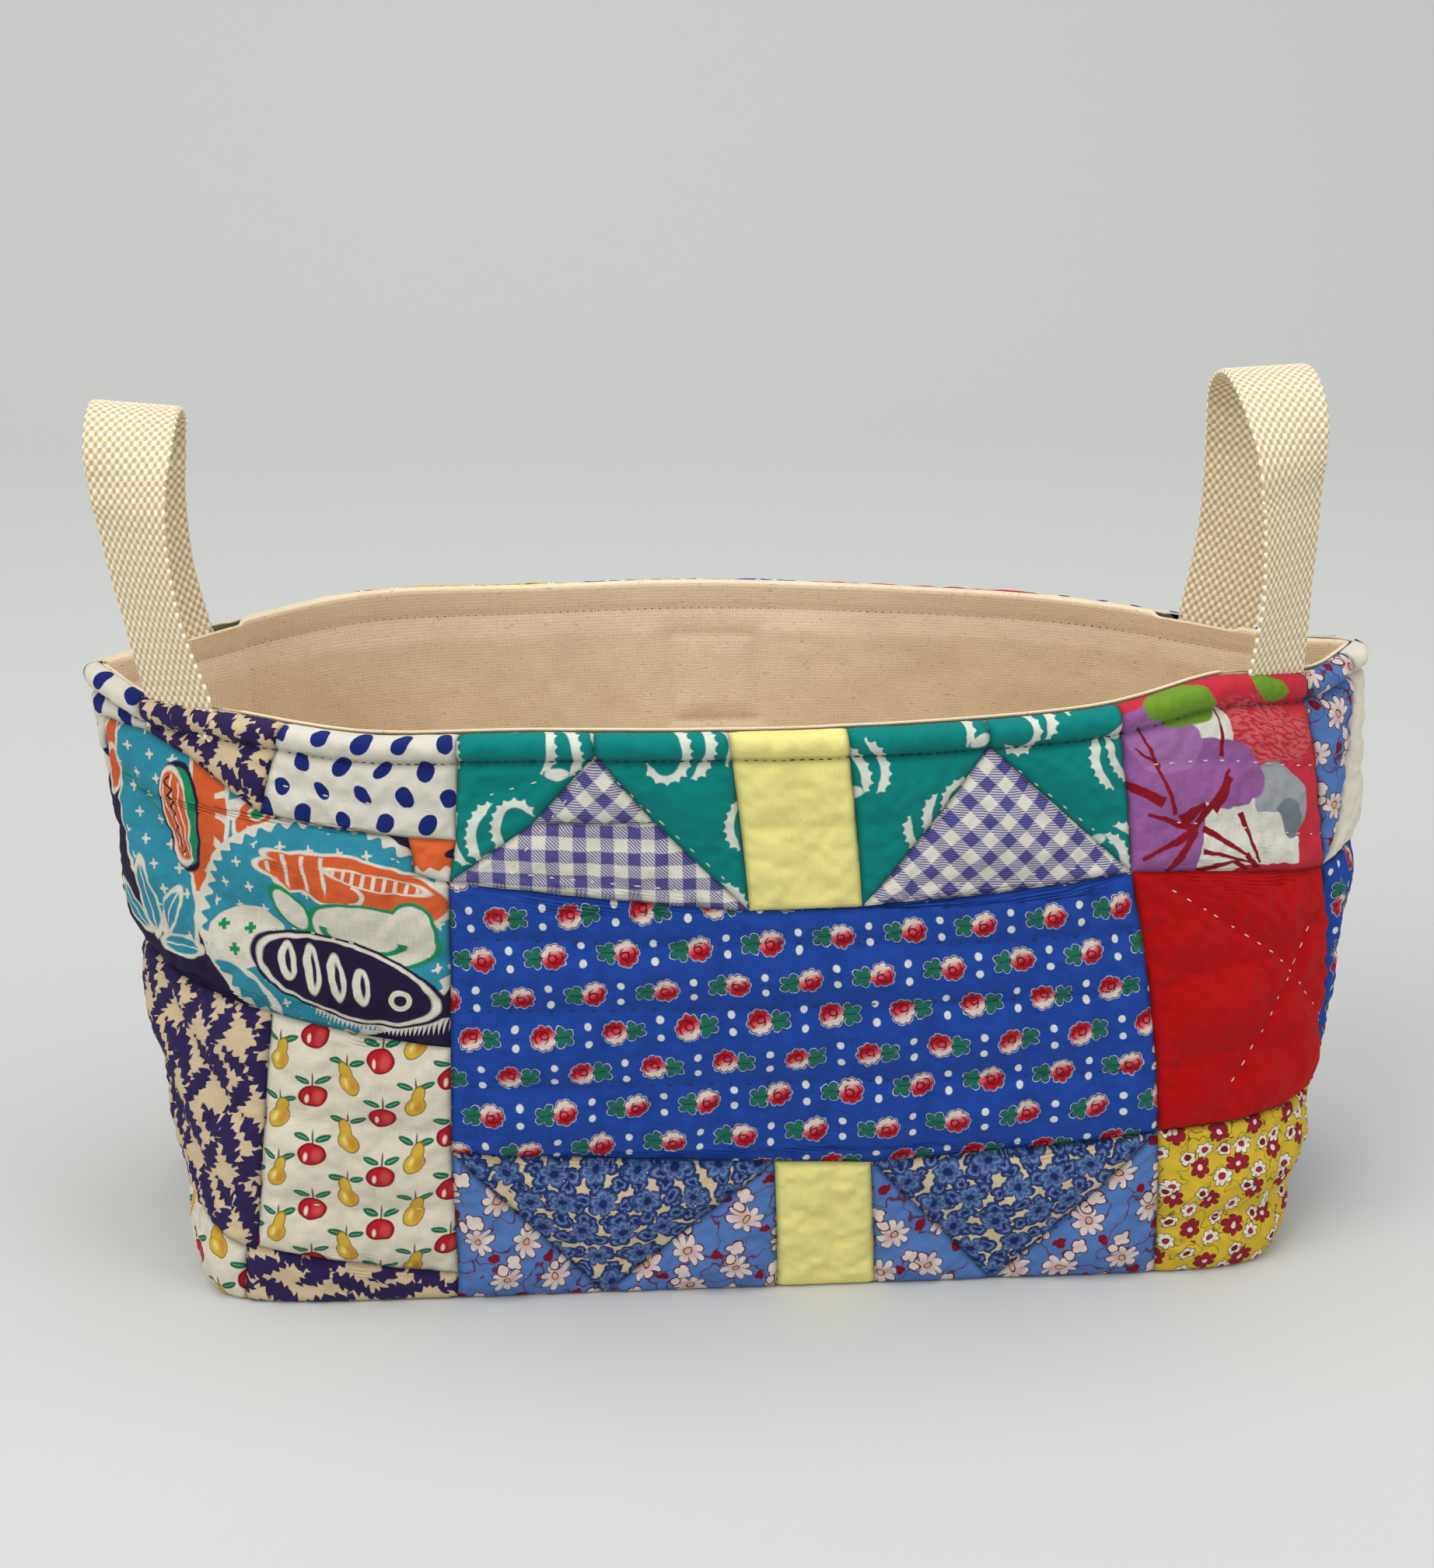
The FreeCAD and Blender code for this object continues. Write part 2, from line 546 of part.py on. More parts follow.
# ---------------------------------------------------------------- check and write
doc.recompute()
problems = [item.Label for item in doc.Objects if {"Invalid", "Error"} & set(item.State)]
for subpart in SUBPARTS:
    if subpart.Shape.isNull() or not subpart.Shape.isValid() or not subpart.Shape.Solids:
        problems.append(subpart.Label)
if problems:
    raise SystemExit("not built: " + ", ".join(problems))

os.makedirs("parts", exist_ok=True)
for subpart in SUBPARTS:
    subpart.Shape.exportStep(f"parts/{subpart.Label}.step")
print(len(SUBPARTS), "sub-parts")
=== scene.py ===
import math
import bpy
import numpy as np
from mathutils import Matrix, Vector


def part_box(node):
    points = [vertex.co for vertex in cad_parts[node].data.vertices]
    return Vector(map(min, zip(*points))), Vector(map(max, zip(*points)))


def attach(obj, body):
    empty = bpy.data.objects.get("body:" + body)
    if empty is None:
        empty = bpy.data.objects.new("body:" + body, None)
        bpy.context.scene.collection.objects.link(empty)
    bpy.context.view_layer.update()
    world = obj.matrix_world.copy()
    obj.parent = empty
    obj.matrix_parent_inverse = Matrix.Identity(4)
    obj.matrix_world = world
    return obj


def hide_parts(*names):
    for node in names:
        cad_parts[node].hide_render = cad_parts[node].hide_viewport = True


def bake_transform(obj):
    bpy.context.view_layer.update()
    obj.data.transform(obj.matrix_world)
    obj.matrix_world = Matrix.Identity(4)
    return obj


# A quilted sewing basket: pieced patchwork walls, a cotton duck lining, two webbing handles.
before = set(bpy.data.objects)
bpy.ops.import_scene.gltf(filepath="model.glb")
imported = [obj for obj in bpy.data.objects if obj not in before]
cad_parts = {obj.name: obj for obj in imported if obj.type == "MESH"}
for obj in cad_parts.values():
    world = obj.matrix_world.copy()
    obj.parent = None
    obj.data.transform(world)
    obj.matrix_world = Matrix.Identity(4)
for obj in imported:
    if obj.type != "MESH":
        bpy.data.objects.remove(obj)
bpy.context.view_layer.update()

# ------------------------------------------------------------------ camera, table and light
# The basket is seen from a little left of its middle and from above its rim, standing on a
# pale seamless table of paper in soft, even studio light.
MM = 0.001
VIEW_DISTANCE, VIEW_ELEVATION, VIEW_AZIMUTH = 0.850, math.radians(20.5), math.radians(-4.0)
AIM = np.array([-0.0053, 0.0, 0.1368])
SENSOR_WIDTH, FOCAL_LENGTH = 36.0, 70.5

away = np.array([math.sin(VIEW_AZIMUTH) * math.cos(VIEW_ELEVATION),
                 -math.cos(VIEW_AZIMUTH) * math.cos(VIEW_ELEVATION), math.sin(VIEW_ELEVATION)])
camera_data = bpy.data.cameras.new("camera")
camera_data.sensor_fit = "HORIZONTAL"
camera_data.sensor_width = SENSOR_WIDTH
camera_data.lens = FOCAL_LENGTH
camera = bpy.data.objects.new("camera", camera_data)
camera.location = AIM + away * VIEW_DISTANCE
camera.rotation_euler = (math.pi / 2 - VIEW_ELEVATION, 0.0, VIEW_AZIMUTH)
bpy.context.scene.collection.objects.link(camera)
bpy.context.scene.camera = camera
bpy.context.scene.view_settings.view_transform = "Standard"


def ink(red, green, blue):
    """A colour on the 0 to 255 scale of a dye chart, as the linear colour a shader needs."""
    part = np.array([red, green, blue]) / 255.0
    linear = np.where(part <= 0.04045, part / 12.92, ((part + 0.055) / 1.055) ** 2.4)
    return (*linear.tolist(), 1.0)


def seamless_table():
    """A sheet that runs flat, bends up in a quarter circle behind the basket and stands."""
    bend, back, wide = 0.9, 1.0, 5.0
    turn = np.linspace(0, math.pi / 2, 25)
    y = np.concatenate(([-4.0], back + bend * np.sin(turn), [back + bend]))
    z = np.concatenate(([0.0], bend - bend * np.cos(turn), [5.0]))
    points = np.stack([np.stack([np.full_like(y, side), y, z], 1) for side in (-wide, wide)])
    rows = len(y)
    faces = [(k, rows + k, rows + k + 1, k + 1) for k in range(rows - 1)]
    mesh = bpy.data.meshes.new("table")
    mesh.from_pydata(points.reshape(-1, 3).tolist(), [], faces)
    mesh.shade_smooth()
    table = bpy.data.objects.new("table", mesh)
    bpy.context.scene.collection.objects.link(table)
    paper = bpy.data.materials.new("table_paper")
    paper.use_nodes = True
    surface = paper.node_tree.nodes["Principled BSDF"]
    surface.inputs["Base Color"].default_value = ink(203, 204, 202)
    surface.inputs["Roughness"].default_value = 0.7
    mesh.materials.append(paper)


seamless_table()


for name, place, tilt, wide, power in (
        ("soft_box_left", (-1.3, -1.2, 1.7), (48, 0, -46), 1.6, 25.0),
        ("soft_box_right", (1.6, -1.0, 1.3), (55, 0, 58), 1.4, 11.0),
        ("soft_box_top", (0.0, 0.1, 2.1), (0, 0, 0), 1.8, 24.0)):
    lamp = bpy.data.lights.new(name, "AREA")
    lamp.size = wide
    lamp.energy = power
    lamp_object = bpy.data.objects.new(name, lamp)
    lamp_object.location = place
    lamp_object.rotation_euler = [math.radians(angle) for angle in tilt]
    bpy.context.scene.collection.objects.link(lamp_object)

world = bpy.data.worlds.new("studio")
world.use_nodes = True
world.node_tree.nodes["Background"].inputs["Color"].default_value = ink(231, 232, 232)
world.node_tree.nodes["Background"].inputs["Strength"].default_value = 0.52
bpy.context.scene.world = world

# ------------------------------------------------------------------ the plain cotton patches
# Both walls are pieced from dress and feed-sack cottons and quilted by hand to batting.
# The yellow, red and cream patches are plain weave, each cut with its own grain and sewn
# with its edges turned under.  The walls' lie and their puff come first.

# The quilt stands as a tube with a boxed bottom: nearly a rectangle at the table, a lens at
# the rim, where the side seams make the two ends.  Distances round it are in millimetres
# from the middle of the front or back, heights in millimetres up the cloth.
RIM = 1000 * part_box("yellow_upper_patch")[1][2]
END = 1000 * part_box("cream_end_patch")[1][0]
BASE_PROUD = 0.4              # the wall's foot stands out past the bottom's outer cloth
BASE_HALF_WIDTH, BASE_HALF_DEPTH = (
    500 * (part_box("base_panel")[1][k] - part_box("base_panel")[0][k]) + BASE_PROUD for k in (0, 1))
RIM_HALF_DEPTH, BELLY, CROWN, DRIFT = 70.0, 4.0, 4.0, 4.5
SEAM = 208.5                  # middle of a wall to its side seam, round the cloth
FOOT_POWERS, RIM_POWERS = (12.0, 9.0), (2.0, 1.3)
SPREAD_POWER = 1.7            # how soon the ends lean out above the table
FRONT, BACK = -1, 1


def outline_rows(levels, count, inset=0.0):
    """Half outlines |x/a|^p + |y/b|^q = 1 at several levels, at even distances round them.

    An inset outline is moved in along its own normal and cut where it meets the side
    seams' plane, so the layers inside the wall keep an even depth up to their corners.
    """
    rows = []
    turn = np.linspace(-math.pi / 2, math.pi / 2, 6001)
    for level in levels:
        opened = 1 - max(0.0, 1 - level) ** SPREAD_POWER
        half_width = BASE_HALF_WIDTH + (END - BASE_HALF_WIDTH) * opened
        half_depth = BASE_HALF_DEPTH + (RIM_HALF_DEPTH - BASE_HALF_DEPTH) * level
        half_depth += BELLY * math.sin(math.pi * min(level, 1.0))
        power_x, power_y = (1 / (1 / foot + (1 / rim - 1 / foot) * level)
                            for foot, rim in zip(FOOT_POWERS, RIM_POWERS))
        x = half_width * np.sign(np.sin(turn)) * np.abs(np.sin(turn)) ** (2 / power_x)
        x = x + DRIFT * math.sin(math.pi * min(level, 1.0))
        y = half_depth * np.abs(np.cos(turn)) ** (2 / power_y)
        if inset:
            step_x, step_y = np.gradient(x), np.gradient(y)
            length = np.hypot(step_x, step_y) + 1e-12
            x, y = x + step_y / length * inset, y - step_x / length * inset
            kept = np.flatnonzero(y > 0)
            first, last = kept[0], kept[-1]
            x = np.concatenate(([x[first]], x[first:last + 1], [x[last]]))
            y = np.concatenate(([0.0], y[first:last + 1], [0.0]))
        along = np.concatenate(([0.0], np.cumsum(np.hypot(np.diff(x), np.diff(y)))))
        even = np.linspace(0, along[-1], count)
        rows.append((np.interp(even, along, x), np.interp(even, along, y)))
    return np.array(rows)


QUILT_INSET, LINING_INSET = 4.8, 5.5
TOP_LEVEL, LEVEL_COUNT, STATION_COUNT = 1.06, 120, 1601
WALL_LEVELS = np.linspace(0, TOP_LEVEL, LEVEL_COUNT)
WALL_PLANS = {inset: outline_rows(WALL_LEVELS, STATION_COUNT, inset)
              for inset in (0.0, QUILT_INSET, LINING_INSET)}


def sample(table, row, column):
    """Bilinear reading of a table at fractional rows and columns."""
    row = np.clip(row, 0, table.shape[0] - 1.001)
    column = np.clip(column, 0, table.shape[1] - 1.001)
    i, j = row.astype(int), column.astype(int)
    fi, fj = row - i, column - j
    return ((table[i, j] * (1 - fj) + table[i, j + 1] * fj) * (1 - fi)
            + (table[i + 1, j] * (1 - fj) + table[i + 1, j + 1] * fj) * fi)


def wall_plan(run, height, inset=0.0):
    """X and positive Y of a layer at a distance round the cloth and a height."""
    plan = WALL_PLANS[inset]
    row = height / RIM / WALL_LEVELS[-1] * (len(WALL_LEVELS) - 1)
    column = (run / SEAM + 1) / 2 * (plan.shape[2] - 1)
    return sample(plan[:, 0], row, column), sample(plan[:, 1], row, column)


def hump(x, centre, width):
    """A bell curve of height one."""
    return np.exp(-((x - centre) / width) ** 2)


def smooth_step(x):
    """Nought below 0, one above 1, and a smooth cubic between."""
    x = np.clip(x, 0, 1)
    return x * x * (3 - 2 * x)


# Each rim's soft rises and dips: height, place along the basket, width.
RIM_WAVES = {FRONT: ((-3.2, -108, 32), (5.2, 138, 24)),
             BACK: ((7.5, -120, 48), (4.0, -30, 90), (1.8, 105, 45), (3.0, -175, 30))}
RIM_SINK = {FRONT: -0.8, BACK: 0.0}
LEFT_END_LIFT, RIGHT_END_LIFT, END_REACH = 6.0, 4.0, 22.0


def rim_lift(x, face):
    """How far the soft rim stands over its even crown, as it really lies.

    A sum of bell curves along the basket, which gives way to each end's own lift.
    """
    lift = sum(high * hump(x, middle, wide) for high, middle, wide in RIM_WAVES[face]) + RIM_SINK[face]
    at_end = np.where(x < 0, LEFT_END_LIFT, RIGHT_END_LIFT)
    share = smooth_step((END - np.abs(x)) / END_REACH)
    return at_end * (1 - share) + lift * share - CROWN * (x / END) ** 2


def soft_noise(run, up, size, seed):
    """Random heights from -1 to 1 on a square lattice, joined by smooth steps."""
    lattice = np.random.default_rng(seed).uniform(-1, 1, (int(260 / size) + 3, int(460 / size) + 3))
    row, column = (np.asarray(up) + 20.0) / size, (np.asarray(run) + SEAM + 12.0) / size
    row = np.floor(row) + smooth_step(row % 1)
    return sample(lattice, row, np.floor(column) + smooth_step(column % 1))


def place_on_wall(run, up, face, inset=0.0, depth=0.0):
    """Points of one layer of the wall, in millimetres.

    The layer lies a further depth inside its plan, along the plan's normal.  Its height
    takes the rim's own crown and lift, which fades with the fourth power of the height.
    """
    run, up, depth = np.broadcast_arrays(np.asarray(run, float), np.asarray(up, float), depth)
    x, y = wall_plan(run, up, inset)
    ahead, behind = wall_plan(run + 1.5, up, inset), wall_plan(run - 1.5, up, inset)
    along_x, along_y = ahead[0] - behind[0], ahead[1] - behind[1]
    length = np.hypot(along_x, along_y) + 1e-9
    at_seam = np.clip((np.abs(run) - (SEAM - 2.0)) / 2.0, 0, 1)
    normal_x = -along_y / length * (1 - at_seam) + np.sign(run) * at_seam
    normal_y = along_x / length * (1 - at_seam)
    lifted = up + rim_lift(x, face) * np.clip(up / RIM, 0, 1.1) ** 4
    return np.stack([x - normal_x * depth, face * np.maximum(y - normal_y * depth, 0.0), lifted], -1)


# Each webbing loop is sewn between the quilt and the lining, one end in the front wall and
# one in the back.  The rim lies flatter over the webbing.
STRAP_WIDTH = 25.4
STRAPS = {"left": dict(middle=-163.8, front=2.2, bulge=-8.2, reach=60.0, top=255.4, tip=-6.0),
          "right": dict(middle=154.6, front=2.2, bulge=3.4, reach=46.0, top=261.0, tip=3.0)}


def run_of(x):
    """Distance round the rim to a place along the basket."""
    run = np.linspace(-SEAM, SEAM, 801)
    return float(np.interp(x, wall_plan(run, np.full_like(run, RIM))[0], run))


STRAP_RUNS = {(name, face): run_of(strap["middle"] - face * strap["front"])
              for name, strap in STRAPS.items() for face in (FRONT, BACK)}


def strap_share(run, face):
    """One where a strap is in the rim, nought away from it."""
    reach = STRAP_WIDTH / 2
    away_from = [np.abs(run - STRAP_RUNS[name, face]) for name in STRAPS]
    return smooth_step((reach + 2.5 - np.minimum(*away_from)) / 3.0)


# The piecing: corners by distance round the wall and height, then each patch's fabric, the
# turn of its grain in degrees and its corners.
TOP = RIM + 2.4               # round the rim's roll to where the lining covers it
FRONT_POINTS = {
    "rim_left": (-SEAM, TOP), "rim_a": (-184, TOP), "rim_b": (-134, TOP), "rim_c": (-82, TOP),
    "rim_d": (-44, TOP), "rim_e": (-7, TOP), "rim_f": (26, TOP), "rim_g": (66, TOP),
    "rim_h": (107, TOP), "rim_i": (175, TOP), "rim_j": (196, TOP), "rim_right": (SEAM, TOP),
    "tip_a": (-SEAM, 118), "tip_b": (-205, 130), "tip_c": (-201, 164), "strip_0": (-182, 168),
    "strip_a": (-166, 163), "strip_b": (-142, 150),
    "polka_low": (-84, 147), "scrap_a": (-97.5, 147.7), "scrap_b": (-96, 137),
    "paisley_a": (-SEAM, 96), "paisley_b": (-192, 97), "paisley_c": (-138.5, 91),
    "paisley_d": (-87, 84), "fruit_a": (-141, 18), "fruit_b": (-83.5, 9),
    "corner_a": (-SEAM, 38), "corner_b": (-144.5, 17),
    "floor_left": (-SEAM, 0), "floor_a": (-144, 0), "floor_b": (-83.5, 0),
    "apex_a": (-44, 172), "cut_a": (-62.5, 152), "cut_b": (-29, 152), "apex_b": (66, 171),
    "panel_a": (-86.5, 134.5), "panel_b": (-4.5, 125), "panel_c": (26.5, 125.5), "panel_d": (104, 130),
    "panel_e": (112, 48.5), "panel_f": (30.5, 43), "panel_g": (3.5, 44), "panel_h": (-86.5, 50),
    "floor_c": (-41.5, 0), "floor_d": (8, 0), "floor_e": (36, 0), "floor_f": (70, 0),
    "floor_g": (117.5, 0), "floor_h": (186, 0), "floor_right": (SEAM, 0),
    "end_a": (174.5, 118), "end_b": (SEAM, 119), "end_c": (178.5, 49), "end_d": (SEAM, 44),
    "end_e": (184, 126), "end_f": (199, 166),
}
FRONT_PATCHES = {
    "polka_dot_tip_patch": ("polka_dot", 8, "rim_left rim_a strip_0 tip_c tip_b tip_a"),
    "zigzag_rim_patch": ("zigzag", 14, "rim_a rim_b strip_b strip_a strip_0"),
    "polka_dot_patch": ("polka_dot", 0, "rim_b rim_c polka_low scrap_a strip_b"),
    "paisley_patch": ("paisley", 0, "tip_a tip_b tip_c strip_0 strip_a strip_b scrap_a scrap_b"
                      " panel_a paisley_d paisley_c paisley_b paisley_a"),
    "orange_scrap_patch": ("orange_scrap", 0, "scrap_a polka_low panel_a scrap_b"),
    "zigzag_left_patch": ("zigzag", 0, "paisley_a paisley_b paisley_c fruit_a corner_b corner_a"),
    "fruit_patch": ("fruit", 0, "paisley_c paisley_d panel_h fruit_b fruit_a"),
    "fruit_corner_patch": ("fruit", 9, "corner_a corner_b floor_a floor_left"),
    "zigzag_foot_patch": ("zigzag", 84, "corner_b fruit_a fruit_b floor_b floor_a"),
    "teal_patch_1": ("teal", 0, "rim_c rim_d apex_a cut_a panel_a polka_low"),
    "teal_patch_2": ("teal", 180, "rim_d rim_e panel_b cut_b apex_a"),
    "teal_patch_3": ("teal", 20, "rim_f rim_g apex_b panel_c"),
    "teal_patch_4": ("teal", 200, "rim_g rim_h panel_d apex_b"),
    "gingham_tip_patch": ("gingham", 43, "apex_a cut_b cut_a"),
    "gingham_left_patch": ("gingham", -2, "cut_a cut_b panel_b panel_a"),
    "gingham_right_patch": ("gingham", 40, "apex_b panel_d panel_c"),
    "yellow_upper_patch": ("yellow", 0, "rim_e rim_f panel_c panel_b"),
    "rose_panel_patch": ("rose", 3, "panel_a panel_b panel_c panel_d panel_e panel_f panel_g"
                         " panel_h paisley_d"),
    "calico_left_patch": ("calico", 0, "panel_h panel_g floor_c"),
    "calico_right_patch": ("calico", 15, "panel_f panel_e floor_f"),
    "daisy_patch_1": ("daisy", 0, "panel_h floor_c floor_b fruit_b"),
    "daisy_patch_2": ("daisy", 30, "panel_g floor_d floor_c"),
    "daisy_patch_3": ("daisy", 75, "panel_f floor_f floor_e"),
    "daisy_patch_4": ("daisy", 10, "panel_e floor_g floor_f"),
    "yellow_lower_patch": ("yellow", 0, "panel_g panel_f floor_e floor_d"),
    "big_flower_patch": ("big_flower", 0, "rim_h rim_i end_a panel_d"),
    "red_patch": ("red", 0, "panel_d end_a end_c panel_e"),
    "yellow_daisy_patch": ("yellow_daisy", 0, "panel_e end_c floor_h floor_g"),
    "daisy_end_patch": ("daisy", 50, "rim_i rim_j end_f end_e end_a"),
    "cream_end_patch": ("cream", 0, "rim_j rim_right end_b end_a end_e end_f"),
    "rose_end_patch": ("rose", 96, "end_a end_b end_d end_c"),
    "calico_end_patch": ("calico", 40, "end_c end_d floor_right floor_h"),
}
BACK_POINTS = {
    "rim_a": (-SEAM, TOP), "rim_b": (-120, TOP), "rim_c": (-46, TOP), "rim_d": (28, TOP),
    "rim_e": (104, TOP), "rim_f": (SEAM, TOP),
    "mid_a": (-SEAM, 96), "mid_b": (-122, 98), "mid_c": (-48, 101), "mid_d": (30, 99),
    "mid_e": (106, 97), "mid_f": (SEAM, 99),
    "floor_a": (-SEAM, 0), "floor_b": (-118, 0), "floor_c": (-44, 0),
    "floor_d": (31, 0), "floor_e": (105, 0), "floor_f": (SEAM, 0),
}
BACK_PATCHES = {
    "back_cream_patch": ("cream", 0, "rim_a rim_b mid_b mid_a"),
    "back_yellow_daisy_patch": ("yellow_daisy", 0, "rim_b rim_c mid_c mid_b"),
    "back_rose_patch": ("rose", 90, "rim_c rim_d mid_d mid_c"),
    "back_big_flower_patch": ("big_flower", 0, "rim_d rim_e mid_e mid_d"),
    "back_polka_dot_patch": ("polka_dot", 0, "rim_e rim_f mid_f mid_e"),
    "back_zigzag_patch": ("zigzag", 0, "mid_a mid_b floor_b floor_a"),
    "back_gingham_patch": ("gingham", 45, "mid_b mid_c floor_c floor_b"),
    "back_red_patch": ("red", 0, "mid_c mid_d floor_d floor_c"),
    "back_teal_patch": ("teal", 0, "mid_d mid_e floor_e floor_d"),
    "back_calico_patch": ("calico", 0, "mid_e mid_f floor_f floor_e"),
}
WALLS = {FRONT: (FRONT_POINTS, FRONT_PATCHES), BACK: (BACK_POINTS, BACK_PATCHES)}

# Quilting lines: start, end, thread, or None where it has sunk out of sight.
FRONT_QUILTING = [
    ((-84, 96), (114, 95), "navy"), ((-84, 72), (118, 70), "navy"),
    ((-82, 118), (110, 112), "navy"), ((-78, 134), (-80, 51), None), ((-46, 130), (-44, 50), None),
    ((-33, 96), (-31, 50), None), ((-13, 124), (-11, 46), None), ((6, 72), (8, 45), None),
    ((16, 125), (18, 44), None), ((44, 126), (46, 44), None), ((70, 128), (74, 46), None),
    ((92, 128), (96, 47), None), ((-76, 160), (-48, 168), "white"),
    ((-70, 138), (-47, 166), "white"), ((-40, 166), (-6, 130), "white"),
    ((34, 132), (61, 165), "white"), ((72, 165), (104, 134), "white"),
    ((-58, 147), (-30, 147), None), ((-72, 138), (-10, 131), "white"),
    ((40, 131), (100, 134), "white"), ((10, 168), (12, 132), "white"), ((-8, 150), (32, 150), None),
    ((114, 124), (150, 97), "white"), ((165, 104), (132, 60), "white"),
    ((150, 97), (176, 66), "white"), ((146, 97), (120, 97), None), ((150, 85), (182, 88), None),
    ((116, 72), (150, 70), None), ((118, 142), (176, 128), "white"),
    ((112, 160), (174, 150), "white"), ((140, 172), (150, 124), None),
    ((-136, 160), (-88, 156), "white"), ((-112, 170), (-108, 150), None),
    ((-188, 150), (-150, 120), None), ((-150, 120), (-90, 112), "white"),
    ((-176, 108), (-150, 96), None), ((-180, 90), (-150, 60), None), ((-186, 60), (-150, 30), None),
    ((-140, 62), (-90, 58), "white"), ((-138, 34), (-92, 32), "white"),
    ((-118, 82), (-116, 16), None), ((-72, 40), (-46, 8), "navy"), ((-40, 8), (-8, 36), "navy"),
    ((44, 36), (70, 8), "navy"), ((76, 8), (108, 38), "navy"), ((20, 40), (22, 4), None),
    ((128, 40), (182, 46), "white"), ((130, 18), (188, 22), "white"), ((190, 100), (196, 64), None),
    ((-140, 6), (-90, 4), None),
]
BACK_QUILTING = [((run, 4), (run + 74, 92), "white") for run in range(-190, 160, 37)]
BACK_QUILTING += [((run + 74, 106), (run, 170), "white") for run in range(-190, 160, 37)]
QUILTING = {FRONT: FRONT_QUILTING, BACK: BACK_QUILTING}
HEM = RIM - 8.0               # the line of topstitching under the rim


def seam_lines(face):
    """Every edge of every patch of a wall, once."""
    points, patches = WALLS[face]
    edges = set()
    for _, _, names in patches.values():
        names = names.split()
        for first, second in zip(names, names[1:] + names[:1]):
            ends = sorted((points[first], points[second]))
            if ends[0][1] != ends[1][1] or 0 < ends[0][1] < TOP:
                edges.add(tuple(ends))
    return sorted(edges)


def distance_to_lines(run, up, lines):
    """For each point the distance to the nearest of several straight lines."""
    nearest = np.full(np.shape(run), 1e3)
    for (run_a, up_a), (run_b, up_b) in lines:
        length = (run_b - run_a) ** 2 + (up_b - up_a) ** 2
        along = np.clip(((run - run_a) * (run_b - run_a) + (up - up_a) * (up_b - up_a)) / length, 0, 1)
        away_run = run - run_a - along * (run_b - run_a)
        away_up = up - up_a - along * (up_b - up_a)
        nearest = np.minimum(nearest, np.hypot(away_run, away_up))
    return nearest


SEAMS = {face: seam_lines(face) for face in (FRONT, BACK)}


def blown_quilt(face, spacing, seed):
    """How far one flat quilted wall puffs, in millimetres, on an even grid.

    The cloth is worked at ten times its size.  Seams are held a little under the rest,
    quilting lines nearly level, the cloth grows a few percent, and pressure lifts it.
    """
    columns, rows = int(2 * SEAM / spacing) + 1, int(TOP / spacing) + 1
    run, up = np.meshgrid(np.linspace(-SEAM, SEAM, columns), np.linspace(0, TOP, rows))
    seams = distance_to_lines(run, up, SEAMS[face])
    quilted = distance_to_lines(run, up, [line[:2] for line in QUILTING[face]])
    hem = np.abs(up - HEM)
    near = np.minimum(np.minimum(seams, quilted), hem)
    on_line = spacing * 0.62
    held = (near < on_line) | (up < 1.5) | (up > TOP - 1)
    uneven = np.random.default_rng(seed).normal(0, 0.25, run.shape)
    scale, steps, seam_sink, quilting_sink = 0.01, 21, -0.9, -0.35
    rest = np.where(seams < on_line, seam_sink, np.where(held, quilting_sink, uneven))
    points = np.stack([run, up, rest], -1).reshape(-1, 3) * scale
    index = np.arange(columns * rows).reshape(rows, columns)
    quads = np.stack([index[:-1, :-1], index[:-1, 1:], index[1:, 1:], index[1:, :-1]], -1)
    mesh = bpy.data.meshes.new("blown_quilt")
    mesh.from_pydata(points.tolist(), [], quads.reshape(-1, 4).tolist())
    cloth = bpy.data.objects.new("blown_quilt", mesh)
    bpy.context.scene.collection.objects.link(cloth)
    pins = cloth.vertex_groups.new(name="held")
    pins.add(np.flatnonzero(held.ravel()).tolist(), 1.0, "REPLACE")
    modifier = cloth.modifiers.new("puff", "CLOTH")
    settings = modifier.settings
    settings.quality = 5
    settings.mass = 0.3
    settings.tension_stiffness = settings.compression_stiffness = 12.0
    settings.shear_stiffness = 4.0
    settings.bending_stiffness = 0.12
    settings.vertex_group_mass = "held"
    settings.shrink_min = -0.035
    settings.use_pressure = True
    settings.uniform_pressure_force = 6.0
    settings.effector_weights.gravity = 0.0
    modifier.collision_settings.use_self_collision = False
    scene = bpy.context.scene
    for step in range(1, steps + 1):
        scene.frame_set(step)
    shaped = cloth.evaluated_get(bpy.context.evaluated_depsgraph_get())
    flat = np.empty(len(mesh.vertices) * 3, np.float32)
    shaped.data.vertices.foreach_get("co", flat)
    lifted = flat.reshape(rows, columns, 3)[..., 2] / scale
    scene.frame_set(1)
    bpy.data.objects.remove(cloth)
    return np.clip(lifted, -1.6, 5.0)


PUFF = {FRONT: blown_quilt(FRONT, spacing=2.3, seed=5), BACK: blown_quilt(BACK, spacing=3.0, seed=9)}


